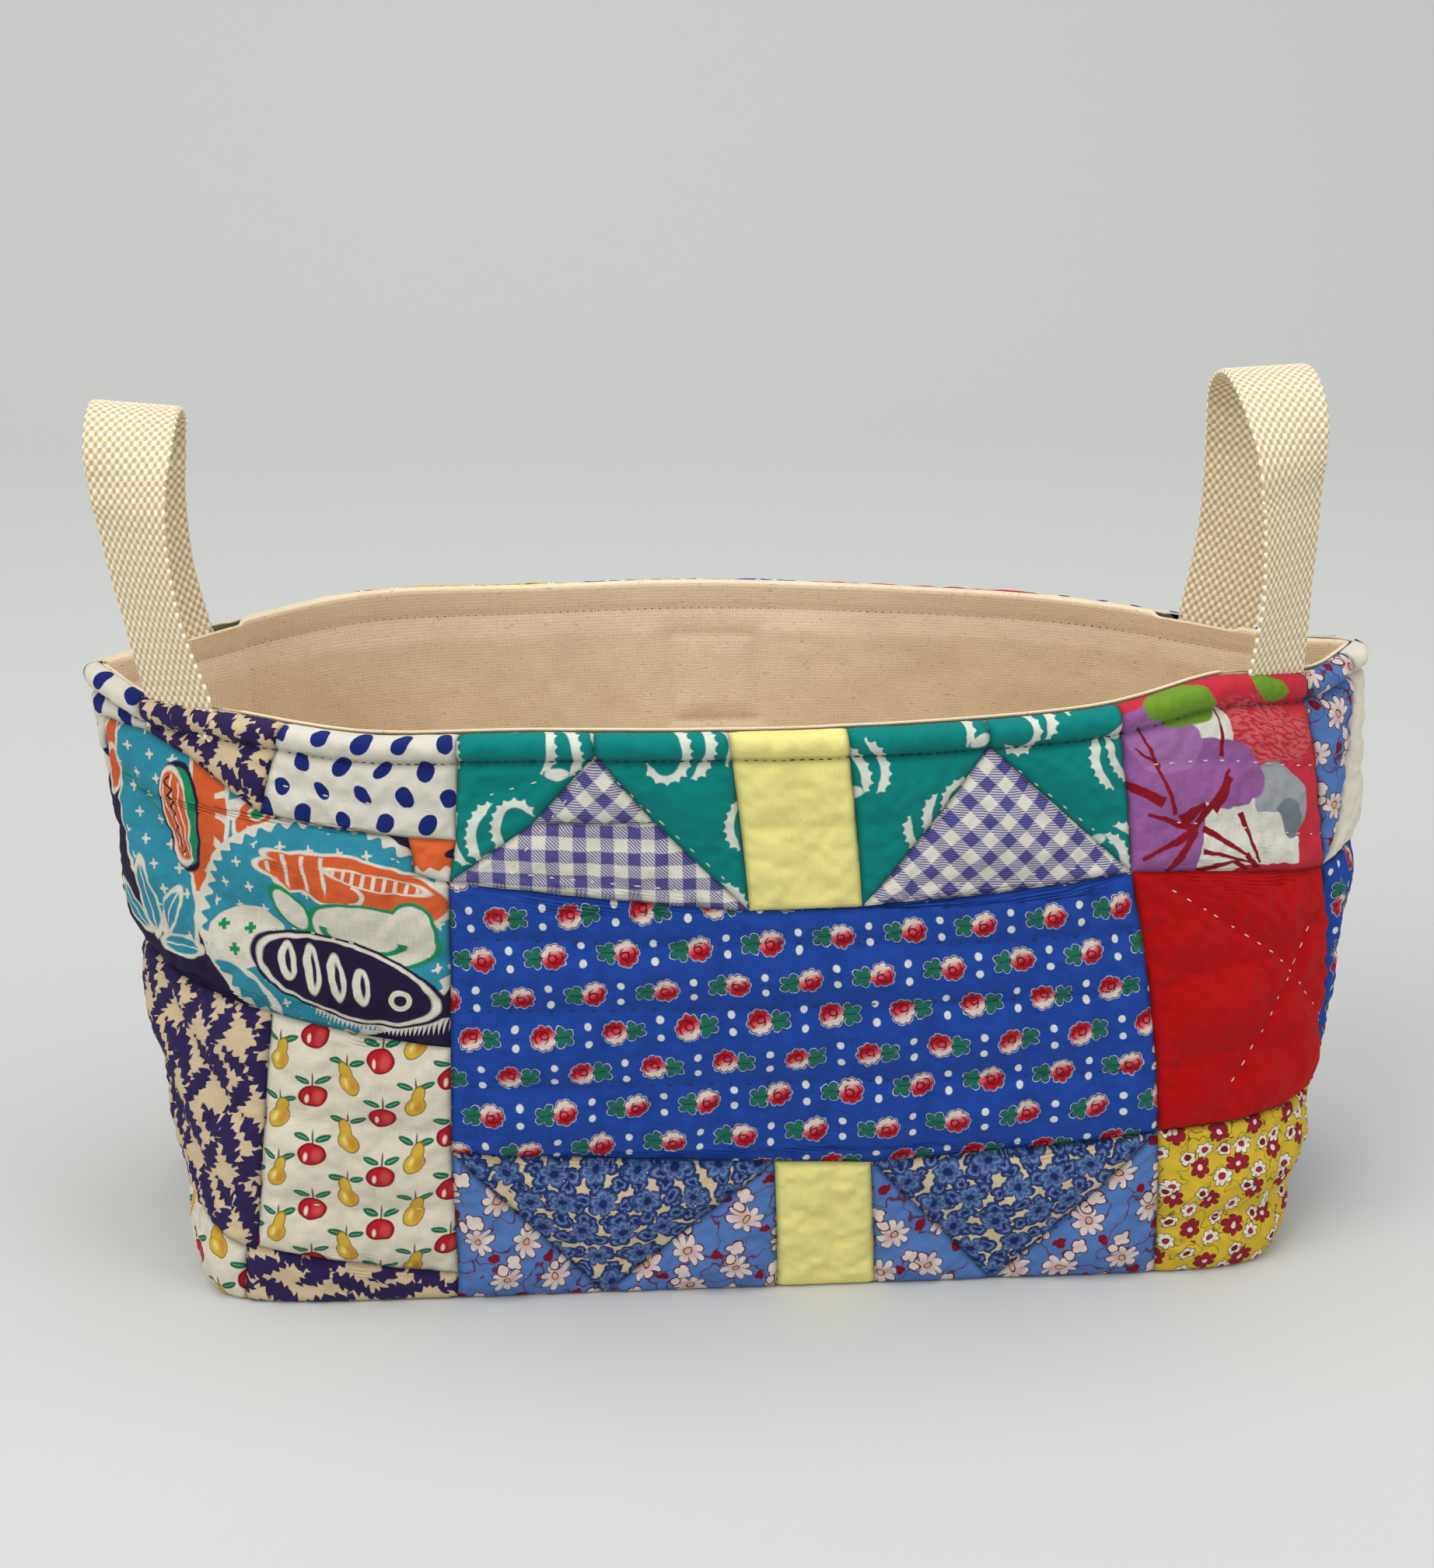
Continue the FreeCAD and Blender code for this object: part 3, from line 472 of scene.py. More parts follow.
def quilt_relief(run, up, face):
    """How far the skin stands out from the even wall, in millimetres.

    The blown cloth's puff, less a narrow ditch at each seam and at the topstitching, plus
    the round of the hem between the topstitching and the rim.  The puff fades at the
    table, round the rim and at the side seams.
    """
    ditch, ditch_width = 0.55, 1.1
    hem_round, groove, groove_width = 1.15, 1.5, 1.2
    table = PUFF[face]
    rows, columns = table.shape
    puff = sample(table, up / TOP * (rows - 1), (run / SEAM + 1) / 2 * (columns - 1))
    to_seam = distance_to_lines(run, up, SEAMS[face])
    calm = np.clip(up / 5.0, 0, 1) * np.clip((RIM + 1 - up) / 4.0, 0.25, 1)
    calm = calm * np.clip((SEAM - np.abs(run)) / 5.0, 0, 1)
    in_hem = np.clip((up - HEM) / (RIM - HEM), 0, 1)
    relief = puff * calm - ditch * hump(to_seam, 0, ditch_width) * np.clip(calm, 0.3, 1)
    relief += hem_round * np.sin(math.pi * in_hem) - groove * hump(up, HEM, groove_width)
    crepe = 0.26 * soft_noise(run, up, 2.6, 3) + 0.32 * soft_noise(run, up, 6.1, 4)
    pucker = np.exp(-np.minimum(to_seam, np.abs(up - HEM)) / 6.0)
    crepe = crepe + 0.42 * pucker * soft_noise(run, up * 0.3, 2.7, 8)
    return relief + crepe * calm


def skin_lie(run, up, face):
    """The skin without its puff: over the rim in most of a half circle, and under the foot.

    Past the rim it goes over in a circle of 2.9 mm, less over a strap; at the table it
    goes under in a quarter circle of 2.5 mm.
    """
    rim_roll, strap_press, foot = 2.9, 1.1, 2.5
    roll = rim_roll - strap_press * strap_share(run, face)
    over = np.clip((up - (RIM - roll)) / roll, 0, 1.8)
    under = np.clip((foot - up) / foot, 0, 1) * math.pi / 2
    height = np.where(over > 0, RIM - roll + roll * np.sin(over), up)
    height = np.where(under > 0, foot * (1 - np.sin(under)), height)
    depth = roll * (1 - np.cos(over)) + foot * (1 - np.cos(under))
    return place_on_wall(run, height, face, depth=depth)


def skin_points(run, up, face, raised=0.0):
    """Points on the quilted skin, and its normals: the even skin pushed out by its relief."""
    base = skin_lie(run, up, face)
    run_side = skin_lie(run + 0.8, up, face) - skin_lie(run - 0.8, up, face)
    up_side = skin_lie(run, up + 0.8, face) - skin_lie(run, up - 0.8, face)
    normal = np.cross(run_side, up_side) * -face
    normal /= np.linalg.norm(normal, axis=-1, keepdims=True) + 1e-9
    normal[..., 1] *= np.clip((SEAM - np.abs(run)) / 1.5, 0, 1)
    return base + normal * (quilt_relief(run, up, face) + raised)[..., None], normal


class Number:
    """A number that varies over the cloth: the output of a node, with arithmetic."""

    def __init__(self, tree, socket):
        self.tree, self.socket = tree, socket

    def node(self, operation, *others, clamp=False):
        """A Math node on this number and up to two others, plain or varying."""
        node = self.tree.nodes.new("ShaderNodeMath")
        node.operation, node.use_clamp = operation, clamp
        for slot, value in enumerate((self, *others)):
            if isinstance(value, Number):
                self.tree.links.new(value.socket, node.inputs[slot])
            else:
                node.inputs[slot].default_value = value
        return Number(self.tree, node.outputs[0])

    def __add__(self, other):
        return self.node("ADD", other)

    def __sub__(self, other):
        return self.node("SUBTRACT", other)

    def __mul__(self, other):
        return self.node("MULTIPLY", other)

    __radd__, __rmul__ = __add__, __mul__

    def __rsub__(self, other):
        return (self * -1.0) + other

    def floor(self):
        return self.node("FLOOR")

    def size(self):
        return self.node("ABSOLUTE")

    def sine(self):
        return self.node("SINE")

    def least(self, other):
        return self.node("MINIMUM", other)

    def most(self, other):
        return self.node("MAXIMUM", other)

    def power(self, other):
        return self.node("POWER", other)

    def inside(self, blur=0.15):
        """One where the number is above zero, nought where it is below, soft between."""
        return (self * (1.0 / blur)).node("ADD", 0.5, clamp=True)


class Fabric:
    """A cloth material: its threads and wear, the painted shade in its seams, and the print that is
    drawn on it.
    """

    ROUGHNESS, SHEEN, SHEEN_ROUGHNESS, SPECULAR = 0.88, 0.03, 0.6, 0.12

    def __init__(self, name, ground):
        self.material = bpy.data.materials.new(name)
        self.material.use_nodes = True
        self.tree = self.material.node_tree
        self.surface = self.tree.nodes["Principled BSDF"]
        self.surface.inputs["Roughness"].default_value = self.ROUGHNESS
        self.surface.inputs["Sheen Weight"].default_value = self.SHEEN
        self.surface.inputs["Sheen Roughness"].default_value = self.SHEEN_ROUGHNESS
        self.surface.inputs["Specular IOR Level"].default_value = self.SPECULAR
        cloth = self.tree.nodes.new("ShaderNodeUVMap")
        cloth.uv_map = "cloth"
        parts = self.tree.nodes.new("ShaderNodeSeparateXYZ")
        self.tree.links.new(cloth.outputs[0], parts.inputs[0])
        self.u, self.v = Number(self.tree, parts.outputs[0]), Number(self.tree, parts.outputs[1])
        first = self.tree.nodes.new("ShaderNodeRGB")
        first.outputs[0].default_value = ground
        self.colour = first.outputs[0]

    def noise(self, u, v, size, detail=2.0, channel=0):
        """Smooth noise about nought, whose lumps are about a size across."""
        joined = self.tree.nodes.new("ShaderNodeCombineXYZ")
        self.tree.links.new((u * (1.0 / size)).socket, joined.inputs[0])
        self.tree.links.new((v * (1.0 / size)).socket, joined.inputs[1])
        joined.inputs[2].default_value = 3.7 * channel
        noise = self.tree.nodes.new("ShaderNodeTexNoise")
        noise.inputs["Scale"].default_value = 1.0
        noise.inputs["Detail"].default_value = detail
        self.tree.links.new(joined.outputs[0], noise.inputs["Vector"])
        return Number(self.tree, noise.outputs["Fac"]) - 0.5

    def wobble(self, size, amount):
        """The cloth's coordinates, shifted about by noise."""
        return (self.u + self.noise(self.u, self.v, size, channel=1) * amount,
                self.v + self.noise(self.u, self.v, size, channel=2) * amount)

    def lattice(self, u, v, pitch_u, pitch_v, shift=0.5):
        """Place within a cell of a lattice whose rows are shifted, and the cell's numbers."""
        row = (v * (1.0 / pitch_v)).floor()
        along = u * (1.0 / pitch_u) + row * shift
        column = along.floor()
        x = (along - column - 0.5) * pitch_u
        y = (v * (1.0 / pitch_v) - row - 0.5) * pitch_v
        return x, y, column, row

    def chance(self, column, row, channel=0.0):
        """A number from 0 to 1 that is the same all over a cell."""
        joined = self.tree.nodes.new("ShaderNodeCombineXYZ")
        self.tree.links.new(column.socket, joined.inputs[0])
        self.tree.links.new(row.socket, joined.inputs[1])
        joined.inputs[2].default_value = channel
        white = self.tree.nodes.new("ShaderNodeTexWhiteNoise")
        self.tree.links.new(joined.outputs[0], white.inputs["Vector"])
        return Number(self.tree, white.outputs["Value"])

    def paint(self, colour, mask):
        """Print a colour where the mask is one."""
        mix = self.tree.nodes.new("ShaderNodeMix")
        mix.data_type = "RGBA"
        self.tree.links.new(mask.socket, mix.inputs[0])
        self.tree.links.new(self.colour, mix.inputs[6])
        if isinstance(colour, tuple):
            mix.inputs[7].default_value = colour
        else:
            self.tree.links.new(colour, mix.inputs[7])
        self.colour = mix.outputs[2]

    def outlined(self, shape, width, line, fill, blur=0.15):
        """Fill a shape, with a line of a width round its outside."""
        self.paint(line, (shape + width).inside(blur))
        self.paint(fill, shape.inside(blur))

    def finish(self, heather=0.10, slub=0.35, thread=0.36, wrinkle=0.5):
        """Threads, slubs, fading, the shade in the seams, and a bump of weave and crepe."""
        fine, long = 0.35, 5.0
        warp = self.noise(self.u * (1 / fine), self.v * (1 / long), 1.0, channel=3)
        weft = self.noise(self.u * (1 / long), self.v * (1 / fine), 1.0, channel=4)
        broad = self.noise(self.u, self.v, 22.0, channel=5)
        value = (warp + weft) * (2.0 * heather) + broad * 0.16 + 1.0
        # Painted shade: the seam_shade attribute darkens the cloth along its seams and under the hem's
        # topstitching.
        seam = self.tree.nodes.new("ShaderNodeAttribute")
        seam.attribute_name = "seam_shade"
        shade = Number(self.tree, seam.outputs["Fac"])
        adjust = self.tree.nodes.new("ShaderNodeHueSaturation")
        self.tree.links.new((value * (1.0 - shade * 0.42)).socket, adjust.inputs["Value"])
        self.tree.links.new(self.colour, adjust.inputs["Color"])
        self.tree.links.new(adjust.outputs[0], self.surface.inputs["Base Color"])
        beat = 2 * math.pi / thread
        weave = (self.u * beat).sine() * (self.v * beat).sine()
        crepe = self.noise(self.u, self.v, 1.5, detail=3.0, channel=6)
        height = weave * 0.05 + (warp + weft) * (0.16 * slub) + crepe * (0.34 * wrinkle)
        bump = self.tree.nodes.new("ShaderNodeBump")
        bump.inputs["Strength"].default_value = 0.85
        bump.inputs["Distance"].default_value = MM
        self.tree.links.new(height.socket, bump.inputs["Height"])
        self.tree.links.new(bump.outputs[0], self.surface.inputs["Normal"])
        return self.material


def plain(name, colour, heather=0.06, wrinkle=0.7):
    """Plain-weave cotton of one colour."""
    return Fabric(name, colour).finish(heather=heather, wrinkle=wrinkle)


def cut_net(corners, spacing):
    """A triangle net over a polygon: rows at even heights and at its corners' heights.

    On each row line stand its crossings with the outline, its corners, and the points of
    an even grid between them.  Two row lines are joined by a zip: their points, taken in
    order of their share of the row, each close one triangle.
    """
    corners = np.array(corners, float)
    following = np.roll(corners, -1, 0)
    heights = np.unique(corners[:, 1])
    lines = [heights[0]]
    for low, high in zip(heights, heights[1:]):
        count = max(1, round((high - low) / spacing))
        lines.extend((low + (high - low) * np.arange(1, count + 1) / count).tolist())
    lines = np.array(lines)
    sloping = corners[:, 1] != following[:, 1]
    start, end = corners[sloping], following[sloping]
    low_end = np.minimum(start[:, 1], end[:, 1])
    high_end = np.maximum(start[:, 1], end[:, 1])
    placed, points, first = [], [], 0
    for height in lines:
        spans = (low_end <= height) & (height <= high_end)
        share = (height - start[spans, 1]) / (end[spans, 1] - start[spans, 1])
        marks = np.unique(np.round(start[spans, 0] + share * (end[spans, 0] - start[spans, 0]), 6))
        grid = np.arange(math.ceil(marks[0] / spacing), math.floor(marks[-1] / spacing) + 1) * spacing
        clear = np.abs(grid[:, None] - marks[None, :]).min(1) > 0.3 * spacing
        row = np.sort(np.concatenate((marks, grid[clear])))
        placed.append((first, row))
        points.append(np.stack([row, np.full_like(row, height)], 1))
        first += len(row)
    triangles = []
    for k in range(len(lines) - 1):
        middle = (lines[k] + lines[k + 1]) / 2
        spans = (low_end < middle) & (middle < high_end)
        run, rise = end[spans, 0] - start[spans, 0], end[spans, 1] - start[spans, 1]
        order = np.argsort(start[spans, 0] + (middle - start[spans, 1]) / rise * run)
        at = [np.round((start[spans, 0] + (line - start[spans, 1]) / rise * run)[order], 6)
              for line in (lines[k], lines[k + 1])]
        for left, right in zip(range(0, len(order), 2), range(1, len(order), 2)):
            sides = []
            for (offset, row), edge in zip((placed[k], placed[k + 1]), at):
                inside = np.flatnonzero((row >= edge[left] - 2e-6) & (row <= edge[right] + 2e-6))
                width = max(edge[right] - edge[left], 1e-9)
                sides.append((offset + inside, (row[inside] - edge[left]) / width))
            (low_ids, low_share), (high_ids, high_share) = sides
            shares = np.concatenate((low_share[1:], high_share[1:]))
            is_low = np.arange(len(shares)) < len(low_ids) - 1
            is_low = is_low[np.argsort(shares, kind="stable")]
            low_at = np.concatenate(([0], np.cumsum(is_low)))
            high_at = np.concatenate(([0], np.cumsum(~is_low)))
            onward = np.where(is_low, low_ids[low_at[1:]], high_ids[high_at[1:]])
            triangles.append(np.stack([low_ids[low_at[:-1]], onward, high_ids[high_at[:-1]]], 1))
    return np.concatenate(points), np.concatenate(triangles)


def surface_object(name, points, face_sets, uv=None, **values):
    """A smooth mesh object at the origin, from points in millimetres and arrays of faces.

    It may have cloth coordinates in millimetres, and values given to its points by name.
    """
    mesh = bpy.data.meshes.new(name)
    corners = np.concatenate([faces.ravel() for faces in face_sets]).astype(np.int32)
    sizes = np.concatenate([np.full(len(faces), faces.shape[1]) for faces in face_sets])
    mesh.vertices.add(len(points))
    mesh.vertices.foreach_set("co", (np.asarray(points) * MM).astype(np.float32).ravel())
    mesh.loops.add(len(corners))
    mesh.loops.foreach_set("vertex_index", corners)
    mesh.polygons.add(len(sizes))
    mesh.polygons.foreach_set("loop_start", (np.cumsum(sizes) - sizes).astype(np.int32))
    mesh.update(calc_edges=True)
    if uv is not None:
        layer = mesh.uv_layers.new(name="cloth")
        layer.data.foreach_set("uv", np.asarray(uv, np.float32)[corners].ravel())
    for label, each in values.items():
        attribute = mesh.attributes.new(label, "FLOAT", "POINT")
        attribute.data.foreach_set("value", np.asarray(each, np.float32))
    mesh.shade_smooth()
    piece = bpy.data.objects.new(name, mesh)
    bpy.context.scene.collection.objects.link(piece)
    return piece


def sew_in(piece, material, slot, *nodes):
    """Give a piece its stuff, fix it to the walls' body and let it stand for its nodes."""
    piece.data.materials.append(material)
    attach(piece, "root")
    if nodes:
        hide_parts(*nodes)


def polygon_area(corners):
    """The area inside an outline, by the shoelace rule."""
    corners = np.array(corners, float)
    following = np.roll(corners, -1, 0)
    return abs((corners[:, 0] * following[:, 1] - following[:, 0] * corners[:, 1]).sum()) / 2


PATCH_THICKNESS, LEAST_FLAT = 0.45 * MM, 0.0101
NET_SPACING = {FRONT: 0.9, BACK: 1.1}
SEAM_SHADE_WIDTH, HEM_SHADE, HEM_SHADE_WIDTH = 0.8, 0.9, 0.9


def make_patch(name, face, spacing, grain, corners, material, slot):
    """One pieced patch: its net laid on the quilted skin, with its print turned to its grain."""
    net, triangles = cut_net(corners, spacing)
    run, up = net[:, 0], net[:, 1]
    place, _ = skin_points(run, up, face)
    if face == BACK:
        triangles = triangles[:, ::-1]
    cosine, sine = math.cos(math.radians(grain)), math.sin(math.radians(grain))
    middle = np.mean(corners, axis=0) if grain else np.zeros(2)
    flat = net - middle
    uv = np.stack([flat[:, 0] * cosine + flat[:, 1] * sine,
                   flat[:, 1] * cosine - flat[:, 0] * sine], 1) + middle
    shade = hump(distance_to_lines(run, up, SEAMS[face]), 0, SEAM_SHADE_WIDTH)
    at_hem = HEM_SHADE * hump(up, HEM, HEM_SHADE_WIDTH)
    shade = np.maximum(shade, at_hem) * (up < RIM + 1)
    piece = surface_object(name + "_cotton", place, [triangles], uv, seam_shade=shade)
    thickness = piece.modifiers.new("thickness", "SOLIDIFY")
    thickness.thickness = PATCH_THICKNESS
    thickness.offset = -1.0
    thickness.use_even_offset = False
    sew_in(piece, material, slot, name)
    polygon_area(corners) * MM * MM


def sew_patches(fabric, material, slot):
    """Every patch that is cut from one fabric, on both walls."""
    for face, (points, patches) in WALLS.items():
        for name, (cut_from, grain, names) in patches.items():
            if cut_from == fabric:
                corners = [points[corner] for corner in names.split()]
                make_patch(name, face, NET_SPACING[face], grain, corners, material, slot)


sew_patches("yellow", plain("yellow_cotton", ink(240, 230, 144)), "yellow_cotton")
sew_patches("red", plain("red_cotton", ink(182, 3, 6), heather=0.04), "red_cotton")
sew_patches("cream", plain("cream_cotton", ink(228, 221, 203)), "cream_cotton")

# ------------------------------------------------------------------ polka dot patches
# A white feed-sack cotton printed with blue dots, at the left end of the front, round its
# corner, and at the right of the back.
def polka_dot():
    """Blue oval dots in staggered rows on ivory, each a little out of shape."""
    cloth = Fabric("polka_dot_cotton", ink(220, 215, 200))
    u, v = cloth.wobble(9.0, 2.4)
    x, y, column, row = cloth.lattice(u, v, 12.2, 8.2)
    plump = cloth.chance(column, row) * 0.7 + 2.1
    x = x + y * ((cloth.chance(column, row, 3.0) - 0.5) * 0.8)
    spread = (x.power(2.0) + (y * 0.8).power(2.0)).power(0.5)
    cloth.paint(ink(22, 38, 112), (plump - spread).inside(0.2))
    return cloth.finish(heather=0.06)


sew_patches("polka_dot", polka_dot(), "polka_dot_print")

# ------------------------------------------------------------------ ragged navy patches
# A tan cotton printed all over with ragged dark blots, like houndstooth gone wild.  It is
# cut with its grain three ways at the left of the front.
def turned(x, y, degrees):
    """The same place seen from axes turned by an angle."""
    cosine, sine = math.cos(math.radians(degrees)), math.sin(math.radians(degrees))
    return x * cosine + y * sine, y * cosine - x * sine


def zigzag():
    """Ragged navy blots on tan: columns of long steep ones between columns of short ones.

    A blot is a leaning spindle whose two edges are cut into pointed teeth.
    """
    cloth = Fabric("zigzag_cotton", ink(212, 190, 154))
    u, v = cloth.wobble(8.0, 2.8)
    for pitch_u, pitch_v, shift_u, shift_v, slant, long, wide in (
            (13.4, 20.5, 0.0, 0.0, -72.0, 9.8, 3.0), (13.4, 20.5, 6.7, 7.5, 60.0, 7.4, 2.9),
            (13.4, 20.5, 6.2, -3.0, -58.0, 6.0, 2.6)):
        x, y, column, row = cloth.lattice(u + shift_u, v + shift_v, pitch_u, pitch_v, 0.35)
        x = x + (cloth.chance(column, row, shift_u) - 0.5) * 2.0
        along, across = turned(x, y, slant)
        step = along * 0.36 + across * 0.16 + cloth.noise(u, v, 2.4, channel=7) * 1.2
        tooth = (step.node("FRACT") - 0.5).size()
        body = 1.0 - (along * (1.0 / long)).power(2.0)
        reach = body * wide + tooth * 3.4 - 1.0
        cloth.paint(ink(47, 33, 80), (reach - across.size()).least(body * 4.0).inside(0.35))
    return cloth.finish(heather=0.07)


sew_patches("zigzag", zigzag(), "zigzag_print")

# ------------------------------------------------------------------ gingham patches
# A yarn-dyed check, woven and not printed, in white and violet-blue.  Three bits of it make
# the triangles under the rim.
def gingham():
    """Woven checks: white, a hatched middle blue where one set of threads is dyed, and dark."""
    cloth = Fabric("gingham_cotton", ink(226, 222, 208))
    u, v = cloth.wobble(14.0, 0.9)
    pitch = 7.4
    across = ((u * (2 * math.pi / pitch)).sine() * 1.2).inside(0.35)
    upright = ((v * (2 * math.pi / pitch)).sine() * 1.2).inside(0.35)
    twill = (((u + v) * (2 * math.pi / 1.0)).sine() * 0.8).inside(0.8)
    single = (across + upright) - across * upright * 2.0
    cloth.paint(ink(60, 52, 142), single * (twill * 0.74 + 0.16))
    cloth.paint(ink(50, 42, 134), across * upright * (twill * 0.12 + 0.86))
    return cloth.finish(heather=0.08)


sew_patches("gingham", gingham(), "gingham")

# ------------------------------------------------------------------ teal patches
# A teal cotton printed with ivory sprays, cut so that the sprays run up on one patch and
# down on the next, round the gingham triangles.
def disc(x, y, radius_x, radius_y=None):
    """How far inside an ellipse a point is, in about millimetres."""
    radius_y = radius_y or radius_x
    spread = ((x * (1 / radius_x)).power(2.0) + (y * (1 / radius_y)).power(2.0)).power(0.5)
    return (1.0 - spread) * min(radius_x, radius_y)


def teal():
    """Ivory sprays on teal: curling fronds with saw-toothed outer edges, from one thick stem.

    A frond is an arc that tapers to both ends, thickened outwards by its teeth.
    """
    cloth = Fabric("teal_frond_cotton", ink(3, 128, 122))
    u, v = cloth.wobble(12.0, 1.6)
    x, y, column, row = cloth.lattice(u + 14.0, v + 13.0, 40.0, 25.0, 0.5)
    flip = (row * 0.5 - (row * 0.5).floor()) * 4.0 - 1.0
    x, y = x * flip * 0.8, y * 0.8
    spray = disc(x + 0.6, y + 6.2, 2.8, 1.5)
    for centre_x, centre_y, radius, low, high, thick in (
            (-9.5, 0.5, 8.3, -0.9, 0.95, 0.95), (-4.6, -1.0, 8.8, -0.75, 1.15, 1.05),
            (1.4, -0.6, 7.6, -1.15, 0.75, 0.95), (-6.0, 3.4, 3.6, 0.2, 3.0, 0.8)):
        from_x, from_y = x - centre_x, y - centre_y
        angle = from_y.node("ARCTAN2", from_x)
        distance = (from_x.power(2.0) + from_y.power(2.0)).power(0.5) - radius
        tooth = ((angle * (radius * 0.55)).node("FRACT") - 0.5).size() * 2.1 - 0.4
        middle, half = (low + high) / 2, (high - low) / 2
        inside = 1.0 - ((angle - middle) * (1.0 / half)).size()
        taper = (inside * 3.0).node("MINIMUM", 1.0) * thick
        band = (taper - distance.size()).most((taper + tooth - distance).least(distance))
        spray = spray.most(band.least(inside * radius))
    cloth.paint(ink(218, 222, 210), (spray - 0.05).inside(0.3))
    return cloth.finish(heather=0.09)


sew_patches("teal", teal(), "teal_frond_print")

# ------------------------------------------------------------------ blue rose patches
# A bright blue cotton printed with rosebuds in rows and pairs of dots.  The wide panel
# across the front is one piece of it.
def blossom(x, y, petals, radius, cut):
    """How far inside a flower a point is: its edge is cut in between the petals."""
    angle = y.node("ARCTAN2", x)
    reach = (angle * (petals / 2.0)).sine().size().power(0.6) * cut + (1.0 - cut)
    return reach * radius - (x.power(2.0) + y.power(2.0)).power(0.5)


def rose():
    """Small red roses with green leaves, and pairs of white dots, on heathered blue."""
    cloth = Fabric("rose_cotton", ink(30, 70, 158))
    u, v = cloth.wobble(16.0, 1.8)
    x, y, column, row = cloth.lattice(u, v, 19.7, 12.2, 0.5)
    pair = (row * 0.5).floor() * 0.5
    parity = (pair - pair.floor()) * 4.0 - 1.0
    x, y = x * parity, y * parity
    away = x.size() - 9.8
    for side in (-1.0, 1.0):
        cloth.paint(ink(222, 224, 222), disc(away, y - side * 2.6, 0.95, 1.15).inside(0.25))
    jag_x, jag_y = cloth.wobble(1.4, 1.0)
    x, y = x + (jag_x - cloth.u), y + (jag_y - cloth.v)
    flower_x, flower_y = x + 2.3, y + 0.1
    flower = blossom(flower_x, flower_y * 0.95, 9, 3.3, 0.2)
    leaf = blossom(x - 2.9, y, 5, 2.9, 0.6)
    both = flower.most(leaf)
    cloth.paint(ink(196, 198, 210), (both + 0.52).inside(0.2))
    cloth.paint(ink(26, 22, 70), (both + 0.30).inside(0.2))
    cloth.paint(ink(30, 108, 86), leaf.inside(0.2))
    cloth.paint(ink(16, 66, 60), (0.16 - y.size()).inside(0.2) * leaf.inside())
    cloth.paint(ink(224, 204, 194), flower.inside(0.2))
    low_side, on_flower = flower_y + flower_x * -0.35, flower.inside()
    cloth.paint(ink(214, 84, 96), (low_side + 0.9).inside(1.4) * on_flower)
    cloth.paint(ink(182, 16, 34), (low_side - 0.7).inside(0.9) * on_flower)
    curl = (0.24 - disc(flower_x - 0.3, flower_y - 0.7, 1.05).size()).most(
        0.2 - disc(flower_x + 0.5, flower_y - 0.2, 1.9).size())
    cloth.paint(ink(112, 10, 30), curl.inside(0.2) * on_flower * (flower_y + 1.4).inside(0.6))
    return cloth.finish(heather=0.2)


sew_patches("rose", rose(), "rose_print")

# ------------------------------------------------------------------ blue calico patches
# A dense little blue flower print of the kind used for quilts, in the two triangles at the
# foot, at the right end and on the back.
def calico():
    """A crowded print of blue blossoms with dark leaves, and little tan between them."""
    cloth = Fabric("calico_cotton", ink(212, 194, 158))
    u, v = cloth.wobble(4.0, 2.4)
    for pitch, shift, offset, petals, radius, colour, heart in (
            (7.0, 0.4, 3.0, 3, 2.6, ink(34, 58, 124), ink(24, 40, 96)),
            (8.2, 0.3, 1.6, 2, 2.9, ink(40, 66, 132), ink(24, 40, 96)),
            (11.5, 0.4, 0.0, 6, 4.3, ink(62, 92, 150), ink(28, 42, 96))):
        x, y, column, row = cloth.lattice(u + offset, v + offset * 1.7, pitch, pitch * 0.85, shift)
        x = x + (cloth.chance(column, row, 2.0) - 0.5) * 2.4
        spin = cloth.chance(column, row) * 6.0
        cosine, sine = (spin + 1.57).sine(), spin.sine()
        x, y = x * cosine + y * sine, y * cosine - x * sine
        shape = blossom(x, y, petals, radius, 0.5)
        cloth.outlined(shape, 0.3, ink(22, 34, 86), colour, 0.3)
        cloth.paint(ink(132, 148, 176), (0.35 - (shape - 1.1).size()).inside(0.3) * 0.65)
        cloth.paint(heart, disc(x, y, radius * 0.27).inside(0.3))
    return cloth.finish(heather=0.10)


sew_patches("calico", calico(), "calico_print")

